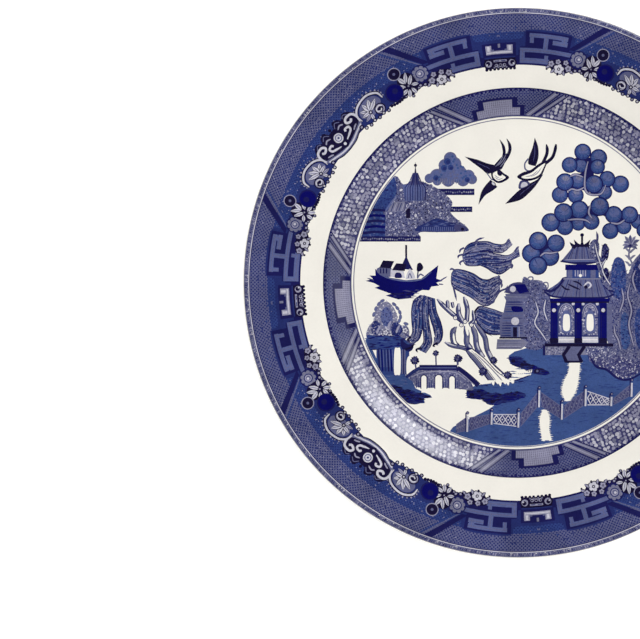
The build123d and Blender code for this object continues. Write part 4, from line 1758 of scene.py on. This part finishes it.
def white_path(ink, chance):
    """The white path in two stretches, and the leafy bank to its right."""
    ragged(
        ink, chance, [(24.4, -37.8), (24.0, -42.0), (21.9, -46.6), (20.9, -51.4), (22.4, -55.8)],
        [(29.4, -37.8), (29.0, -43.0), (28.2, -48.2), (26.8, -52.4), (24.6, -55.6)], "glaze",
    )
    ragged(
        ink, chance, [(11.6, -60.4), (10.4, -65.0), (10.8, -70.0), (11.6, -74.6)],
        [(13.6, -60.4), (15.0, -64.4), (14.8, -69.4), (16.0, -74.6)], "glaze",
    )
    bank = [
        (34, -34), (36, -39), (41, -40.6), (46, -44.4), (52, -45.2), (60, -41), (70, -34), (66, -28),
        (46, -31),
    ]
    foliage(ink, chance, bank, "dusk", ("navy", "lilac", "deep", "slate", "stone", "mist"), 0.9, 0.55)
    ink.curve([
        (34.0, -34.6), (37.0, -39.6), (42.0, -41.2), (47.0, -45.0), (52.6, -45.8), (60.0, -42.0),
    ], 1.1, "navy", 0.4, 0.5)


def lattice_panel(ink, top, foot, light):
    """A fence panel: lozenges between two rails."""
    ink.area(top + foot[::-1], "deep" if light else "dusk")
    count = 4
    for k in range(count):
        a, b, c = k / count, (k + 0.5) / count, (k + 1) / count
        rails = [Vector(p) for p in (*top, *foot)]

        def spot(across, down):
            return tuple(rails[0].lerp(rails[1], across).lerp(rails[2].lerp(rails[3], across), down))

        ink.line([
            spot(a, 0.5), spot(b, 0.08), spot(c, 0.5), spot(b, 0.92), spot(a, 0.5),
        ], 0.62, "mist" if light else "slate")
        ink.disc(spot(b, 0.5), 0.42, "mist" if light else "stone", 6)
        ink.disc(spot(c, 0.12), 0.36, "lilac" if light else "slate", 6)
        ink.disc(spot(c, 0.88), 0.36, "lilac" if light else "slate", 6)
    for part in (0, 1):
        ink.line(between(top, foot, part), 0.45, "mist" if light else "slate")


def fence(ink):
    """Posts and pierced panels that zigzag along the bottom."""
    stops = [
        (-30.0, -64.8, -71.6), (-23.8, -61.6, -70.6), (-12.3, -60.0, -67.2), (0.4, -60.0, -68.6),
        (10.2, -49.6, -59.0), (21.0, -56.0, -64.8), (32.2, -49.0, -58.4), (44.4, -52.6, -58.4),
        (54.0, -46.0, -54.0),
    ]
    for (x0, high0, low0), (x1, high1, low1) in zip(stops, stops[1:]):
        top = [(x0 + 0.8, high0 - 2.4), (x1 - 0.8, high1 - 2.4)]
        foot = [(x0 + 0.8, low0 + 0.6), (x1 - 0.8, low1 + 0.6)]
        lattice_panel(ink, top, foot, x0 in (-12.3, 32.2))
    for x, high, low in stops[1:]:
        ink.line([(x - 0.8, high), (x - 0.8, low)], 0.6, "navy")
        ink.line([(x, high - 1.4), (x - 0.2, low)], 0.85, "mist")
        ink.disc((x, high), 0.8, "navy", 8)
        ink.disc((x + 0.1, high - 0.1), 0.36, "lilac", 6)


def opening(x, half, top, foot):
    """The outline of a round-headed opening. x is its middle, and half is half its width."""
    turns = [math.radians(a) for a in range(0, 181, 20)]
    head = [away_from((x, top - half), half, a) for a in turns]
    return [(x + half, foot), *head, (x - half, foot)]


def bridge(ink, chance):
    """The stone bridge with three openings."""
    body = [
        (-52.0, -44.4), (-46.8, -40.6), (-37.6, -40.2), (-28.8, -40.6), (-24.0, -44.4), (-21.0, -50.6),
        (-26.8, -50.4), (-33.0, -49.8), (-47.0, -49.6), (-49.6, -47.0),
    ]
    ink.blob(body, "slate")
    for x, y in strewn(chance, body, 0.95):
        ink.disc((x, y), 0.4, chance.choice(("stone", "dusk", "lilac", "slate")), 5)
    ink.curve([(-50.4, -44.6), (-45.4, -42.6), (-37.6, -42.0), (-29.4, -42.6), (-24.6, -46.0)], 0.5, "lilac")
    for x in (-47.2, -41.0, -34.3, -28.6):
        for side in (-0.9, 0.1, 1.0):
            ink.line(
                [(x + side, -49.6 + 0.3 * side), (x + side, -45.6)], 0.45, ("deep", "dusk")[side > 0.5],
                1, 0.3,
            )
    for x, half, top in ((-44.5, 1.2, -43.9), (-37.5, 1.6, -43.7), (-31.2, 1.25, -44.3)):
        ink.area(opening(x, half + 0.45, top + 0.5, -50.2), "navy")
        ink.area(opening(x, half, top, -52.0), "glaze")
    ink.area([(-46.6, -38.9), (-28.8, -38.9), (-28.2, -41.4), (-47.0, -41.4)], "navy")
    ink.line([(-46.4, -40.3), (-29.2, -40.3)], 0.4, "steel")
    ink.curve([(-46.6, -40.4), (-49.6, -42.2), (-53.0, -44.8)], 1.6, "deep", 1, 0.7)
    ink.curve([(-28.8, -40.4), (-24.6, -43.4), (-18.6, -48.6)], 2.6, "navy", 0.9, 0.9)
    ink.curve([(-28.4, -41.8), (-24.8, -44.6), (-20.4, -48.6)], 0.4, "lilac")


def flowering_tree(ink, chance):
    """The tree behind the house: a pale pointed crown with a dark heart, over two dark clumps."""
    pale = ("mist", "slate", "lilac", "steel", "mist", "stone")
    foliage(ink, chance, [
        (-68.4, -18.0), (-67.0, -12.6), (-64.6, -9.8), (-61.8, -9.0), (-59.0, -11.4), (-57.2, -15.6),
        (-56.6, -20.0), (-52.6, -20.4), (-51.4, -24.0), (-54.0, -26.6), (-70.4, -26.4), (-71.0, -21.4),
    ], "stone", pale, 0.9, 0.55)
    for outline, ground, tones in (
        ([
            (-64.8, -17.4), (-64.2, -13.2), (-62.4, -11.4), (-60.4, -12.8), (-59.2, -16.4),
            (-60.2, -20.2), (-63.0, -20.6),
        ], "steel", ("cobalt", "deep", "slate", "dusk")),
        ([
            (-69.4, -20.4), (-67.8, -18.0), (-65.4, -19.2), (-65.2, -22.4), (-66.6, -24.6),
            (-69.0, -23.8),
        ], "deep", ("navy", "dusk", "lilac", "slate")),
        ([
            (-60.0, -21.0), (-58.6, -18.8), (-56.0, -19.6), (-54.6, -22.2), (-56.0, -24.8),
            (-59.2, -24.6),
        ], "deep", ("steel", "navy", "dusk", "slate")),
    ):
        foliage(ink, chance, outline, ground, tones, 1.0, 0.6)
    for x, y in ((-61.2, -20.4), (-66.4, -22.8), (-57.2, -22.4)):
        ink.curve([(x + 1.2, y + 2.4), (x + 0.2, y + 0.4), (x - 0.4, y - 1.4)], 1.0, "lilac", 0.3, 0.4)
    for x, y in ((-62.6, -23.6), (-60.4, -25.4), (-64.2, -26.0), (-53.4, -22.6)):
        blossom(ink, x, y, 1.35, 5, "mist")
    for x, y, turn in (
        (-58.6, -10.2, -40), (-57.1, -12.0, -50), (-55.9, -14.0, -70), (-55.6, -16.2, -90),
        (-56.2, -18.0, -110), (-64.2, -8.6, 30), (-65.8, -10.0, 50), (-67.2, -12.2, 65),
        (-68.2, -15.0, 70), (-53.0, -19.4, -20),
    ):
        ink.disc((x, y), 1.3, "slate", 9, 0.6, turn)
        ink.disc((x, y), 0.7, "steel", 7, 0.5, turn)


def near_shore(ink, chance):
    """The land and the dark shore at the lower left."""
    ink.area([
        (-66.0, -38.0), (-54.6, -43.2), (-50.6, -44.8), (-48.4, -50.0), (-41.4, -53.2), (-40.6, -54.4),
        (-44.6, -54.8), (-44.0, -57.0), (-50.4, -57.4), (-62.0, -50.0), (-74.0, -30.0), (-71.4, -26.0),
    ], "wash")
    shade_of = [
        (-60, -48), (-55, -50.2), (-50, -51.4), (-43, -53.2), (-41.6, -54.2), (-45, -55), (-45, -56.6),
        (-51, -57.4), (-61, -52),
    ]
    shadow(ink, chance, shade_of)
    streaks(
        ink, chance, [(-66, -40), (-52, -45), (-50, -50), (-62, -48)], ("cobalt", "steel", "wash"), 1.6,
        2.6, 0.5,
    )


def shore_house(ink, chance):
    """The house at the lower left, with its broad dark roof and two pale columns."""
    ink.box(-67.0, -43.6, -51.4, -29.0, "cobalt")
    for k in range(5):
        x = -66.0 + 1.45 * k
        ink.line([(x, -31.4), (x + 0.5, -42.0)], 0.7, ("navy", "royal", "deep")[k % 3])
        ink.line([(x + 0.7, -31.8), (x + 1.1, -40.0)], 0.35, "steel")
    roof = [
        (-71.8, -24.8), (-56.0, -25.2), (-52.4, -27.4), (-49.6, -29.8), (-51.4, -32.4), (-54.4, -30.8),
        (-64.0, -31.2), (-70.6, -32.0),
    ]
    ink.area(roof, "cobalt")
    streaks(ink, chance, roof, ("royal", "wash", "navy", "cobalt"), 1.4, 3.6, 0.7)
    ink.blob([(-55.4, -26.8), (-52.6, -29.0), (-49.4, -30.0), (-51.2, -32.6), (-55.0, -31.0)], "navy")
    ink.blob([
        (-58.6, -42.6), (-58.4, -31.8), (-57.0, -30.9), (-55.6, -31.8), (-55.6, -42.6), (-57.0, -43.6),
    ], "glaze")
    ink.box(-55.0, -43.2, -53.2, -31.6, "slate")
    ink.line([(-54.1, -31.6), (-54.1, -43.2)], 0.5, "navy")
    ink.blob([
        (-52.6, -43.4), (-52.6, -36.6), (-51.0, -34.6), (-49.6, -37.6), (-49.6, -43.0), (-51.0, -44.0),
    ], "glaze")
    ink.curve([(-49.0, -28.6), (-50.6, -30.6), (-53.6, -31.6)], 1.0, "black", 0.3, 0.6)
    wisps(ink, (
        [(-52.6, -27.6), (-50.2, -28.8), (-48.2, -28.2)],
        [(-53.4, -24.4), (-51.4, -25.6), (-50.4, -27.4)],
    ), 0.9)


def draw_centre():
    """The whole landscape, from the far side to the near one, and the clean edge round it."""
    chance = random.Random(5)
    ink = Drawing()
    cloud_tree(ink, chance)
    spired_house(ink, chance)
    island_shore(ink, chance)
    hull(ink, chance)
    cabins(ink)
    near_ground(ink, chance)
    white_path(ink, chance)
    near_shore(ink, chance)
    flowering_tree(ink, chance)
    shore_house(ink, chance)
    bridge(ink, chance)
    fence(ink)
    upper_plumes(ink, chance)
    hanging_plumes(ink, chance)
    willow_limbs(ink, chance)
    willow_trunk(ink)
    small_bushes(ink, chance)
    right_bank_trees(ink, chance)
    small_house(ink, chance)
    tea_house_foundation(ink, chance)
    tea_house_front(ink, chance)
    tea_house_lower_roof(ink)
    tea_house_upper_tier(ink)
    leafy_stem(ink, chance)
    round_leaf_tree(ink, chance)
    left_swallow(ink)
    right_swallow(ink)
    rim = [on_ring(*p) for p in sector(SCENE_EDGE, 95.0, 0, 360, 1.5)]
    ink.area(rim, "glaze")
    reach = (-SCENE_PRINT, SCENE_PRINT)
    ink.guide([(x, 0) for x in reach])
    ink.guide([(0, y) for y in reach])
    for radius in (66.0, 70.0, 73.0, 75.0, 76.0):
        ink.guide([on_ring(*p) for p in arc(radius, 0, 360, 2.0)])
    return ink


def build_centre():
    """The landscape, parted into four quarters."""
    boundary = [on_ring(a, SCENE_PRINT) for a in np.arange(0, 360, 1.5)]
    flat, triangles, tones = split_into_triangles(draw_centre(), boundary)
    middles = flat[triangles].mean(1)
    quarter = (middles[:, 0] < 0) * 2 + (middles[:, 1] < 0)
    for k in range(4):
        mine = quarter == k
        points, faces = used_only(flat, triangles[mine])
        lay_on_front(
            f"centre_scene_{k + 1}", points, faces, tones[mine], "centre_scene_print",
        )


build_centre()

# ---------------------------------------------------------------------------------------
# Glaze and body
# ---------------------------------------------------------------------------------------
TURNED_STEPS = 256


def turned_piece(name, samples, node):
    """A surface of revolution through samples of the section."""
    samples = [s for a, s in zip([None, *samples], samples) if a is None or (a[0] - s[0]).length > 1e-4]
    angles = np.linspace(0, 2 * math.pi, TURNED_STEPS, endpoint=False)
    places, normals = [], []
    for point, normal in samples:
        for a in angles:
            places.append((point.x * math.cos(a), point.x * math.sin(a), point.y))
            normals.append((normal.x * math.cos(a), normal.x * math.sin(a), normal.y))
    faces = []
    n = TURNED_STEPS
    for j in range(len(samples) - 1):
        for k in range(n):
            m = (k + 1) % n
            faces.append((j * n + k, (j + 1) * n + k, (j + 1) * n + m, j * n + m))
    tones = [TONE_NAMES.index("glaze")] * len(faces)
    make_piece(name, np.array(places), faces, np.array(normals), tones, node)


def build_glaze():
    """The two glaze coats, which leave the land of the foot ring bare."""
    on_axis = 0.01  # a pinhole, so that no triangle closes to a line
    bare_from = next(k for k, s in enumerate(SECTION) if s[1].y < 0.2 and s[0].y < BARE_FOOT_HEIGHT)
    bare_to = max(k for k, s in enumerate(SECTION) if s[0].y < BARE_FOOT_HEIGHT) + 1
    outer = [(Vector((max(p.x, on_axis), p.y)), n) for p, n in SECTION[:bare_from]]
    inner = [(Vector((max(p.x, on_axis), p.y)), n) for p, n in SECTION[bare_to:]]
    turned_piece("glaze_skin", outer, "glaze_coat")
    turned_piece("foot_recess_skin", inner, "foot_recess_glaze")


MARK_RADIUS = 10.8
MARK_TURN = 30
PETAL_REACH = 7.6


def draw_mark():
    """A plain rosette of six petals inside two thin rings."""
    ink = Drawing()
    for radius, tone in ((10.4, "cobalt"), (9.9, "glaze"), (9.2, "cobalt"), (8.95, "glaze")):
        ink.disc((0, 0), radius, tone, 72)
    for k in range(6):
        a = math.radians(MARK_TURN + 60 * k)
        tip = (PETAL_REACH * math.cos(a), PETAL_REACH * math.sin(a))
        ink.line([
            (1.2 * math.cos(a), 1.2 * math.sin(a)), (tip[0] * 0.6, tip[1] * 0.6), tip,
        ], 2.6, "cobalt", 0.2, 0.1)
        ink.line([(tip[0] * 0.35, tip[1] * 0.35), (tip[0] * 0.85, tip[1] * 0.85)], 0.4, "glaze")
        between_petals = a + math.radians(30)
        ink.disc((6.4 * math.cos(between_petals), 6.4 * math.sin(between_petals)), 0.6, "cobalt", 10)
    ink.rings((0, 0), (1.3, "cobalt", 16), (0.6, "glaze", 12))
    return ink


def build_mark():
    """The printed rosette inside the foot ring, facing down."""
    boundary = [on_ring(a, MARK_RADIUS) for a in range(0, 360, 5)]
    flat, triangles, tones = split_into_triangles(draw_mark(), boundary)
    flat, faces = used_only(flat, triangles)
    normals = np.tile((0.0, 0.0, -1.0), (len(flat), 1))
    places = np.c_[flat, np.full(len(flat), FOOT_HEIGHT - INK_LIFT)]
    make_piece("back_mark", places, faces[:, ::-1], normals, tones, "back_mark_print")


build_glaze()
build_mark()
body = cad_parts["biscuit_body"]
for k in range(len(body.material_slots)):
    body.material_slots[k].material = biscuit_material()

# ---------------------------------------------------------------------------------------
# Studio: a pale floor, soft light and the camera
# ---------------------------------------------------------------------------------------
FLOOR_SIZE = 60.0
FLOOR_GAP = 0.00005
ROOM_BRIGHTNESS = 0.36
ROOM_COLOUR = (0.95, 0.955, 0.96, 1)
ROOM_SEEN_IN_GLAZE = (0.12, 0.12, 0.125, 1)
VIEW_WIDTH = 302.1
CAMERA_ASIDE = (-93.7, -17.4)
LENS = 600.0
SENSOR = 36.0
RIM_PLANE = 22.5


def build_floor():
    """A wide pale floor just under the foot ring."""
    mesh = bpy.data.meshes.new("studio_floor")
    half = FLOOR_SIZE / 2
    mesh.from_pydata(
        [(-half, -half, 0), (half, -half, 0), (half, half, 0), (-half, half, 0)], [], [(0, 1, 2, 3)]
    )
    floor = bpy.data.objects.new("studio_floor", mesh)
    floor.location.z = cad_low.z - FLOOR_GAP
    material = bpy.data.materials.new("studio_floor")
    material.use_nodes = True
    shader = material.node_tree.nodes["Principled BSDF"]
    shader.inputs["Base Color"].default_value = shade(250, 250, 250)
    shader.inputs["Roughness"].default_value = 0.9
    shader.inputs["Specular IOR Level"].default_value = 0.1
    shader.inputs["Emission Color"].default_value = (1, 1, 1, 1)
    shader.inputs["Emission Strength"].default_value = 0.3
    mesh.materials.append(material)
    bpy.context.scene.collection.objects.link(floor)


def softbox(name, azimuth, elevation, distance, size, power, mirrored=True, lighting=True):
    """A soft light aimed at the plate. It may be seen only in the glaze, or only light the plate."""
    data = bpy.data.lights.new(name, "AREA")
    data.shape = "RECTANGLE"
    data.size, data.size_y = size
    data.energy = power
    light = bpy.data.objects.new(name, data)
    a, e = math.radians(azimuth), math.radians(elevation)
    light.location = Vector((math.cos(a) * math.cos(e), math.sin(a) * math.cos(e), math.sin(e))) * distance
    light.rotation_euler = (-light.location).to_track_quat("-Z", "Y").to_euler()
    light.visible_glossy = mirrored
    light.visible_diffuse = lighting
    light.visible_camera = False
    bpy.context.scene.collection.objects.link(light)
    return data


def fade_out(data):
    """Let a light fade from its middle to nothing at its edges, as a diffuser does."""
    data.use_nodes = True
    nodes, links = data.node_tree.nodes, data.node_tree.links
    spot = nodes.new("ShaderNodeNewGeometry")
    away = nodes.new("ShaderNodeVectorMath")
    away.operation = "DISTANCE"
    away.inputs[1].default_value = (0.5, 0.5, 0)
    fade = nodes.new("ShaderNodeMapRange")
    fade.interpolation_type = "SMOOTHSTEP"
    fade.inputs["From Min"].default_value = 0.05
    fade.inputs["From Max"].default_value = 0.5
    fade.inputs["To Min"].default_value = 1
    fade.inputs["To Max"].default_value = 0
    links.new(spot.outputs["Parametric"], away.inputs[0])
    links.new(away.outputs["Value"], fade.inputs["Value"])
    links.new(fade.outputs["Result"], nodes["Emission"].inputs["Strength"])


def build_light():
    """A bright room that is dim in reflections, two soft lights and two faint reflectors."""
    world = bpy.data.worlds.new("studio")
    bpy.context.scene.world = world
    world.use_nodes = True
    nodes, links = world.node_tree.nodes, world.node_tree.links
    background = nodes["Background"]
    seen = nodes.new("ShaderNodeLightPath")
    mix = nodes.new("ShaderNodeMix")
    mix.data_type = "RGBA"
    mix.inputs["A"].default_value = ROOM_COLOUR
    mix.inputs["B"].default_value = ROOM_SEEN_IN_GLAZE
    links.new(seen.outputs["Is Glossy Ray"], mix.inputs["Factor"])
    links.new(mix.outputs["Result"], background.inputs["Color"])
    background.inputs["Strength"].default_value = ROOM_BRIGHTNESS
    softbox("overhead_softbox", 90, 88, 2.6, (1.8, 1.8), 41, mirrored=False)
    softbox("right_softbox", 25, 42, 2.2, (0.9, 0.9), 14, mirrored=False)
    fade_out(softbox("low_reflector", 50, 24, 2.2, (3.0, 1.8), 165, lighting=False))
    fade_out(softbox("side_reflector", -8, 24, 2.2, (3.0, 1.8), 15, lighting=False))


def build_camera():
    """A camera straight above the rim, moved aside so that the frame cuts the plate."""
    data = bpy.data.cameras.new("camera")
    data.lens = LENS
    data.sensor_width = SENSOR
    data.clip_end = 100
    camera = bpy.data.objects.new("camera", data)
    height = RIM_PLANE + VIEW_WIDTH * LENS / SENSOR
    camera.location = Vector((*CAMERA_ASIDE, height)) * MM
    bpy.context.scene.collection.objects.link(camera)
    bpy.context.scene.camera = camera


build_floor()
build_light()
build_camera()
bpy.context.scene.view_settings.view_transform = "Standard"
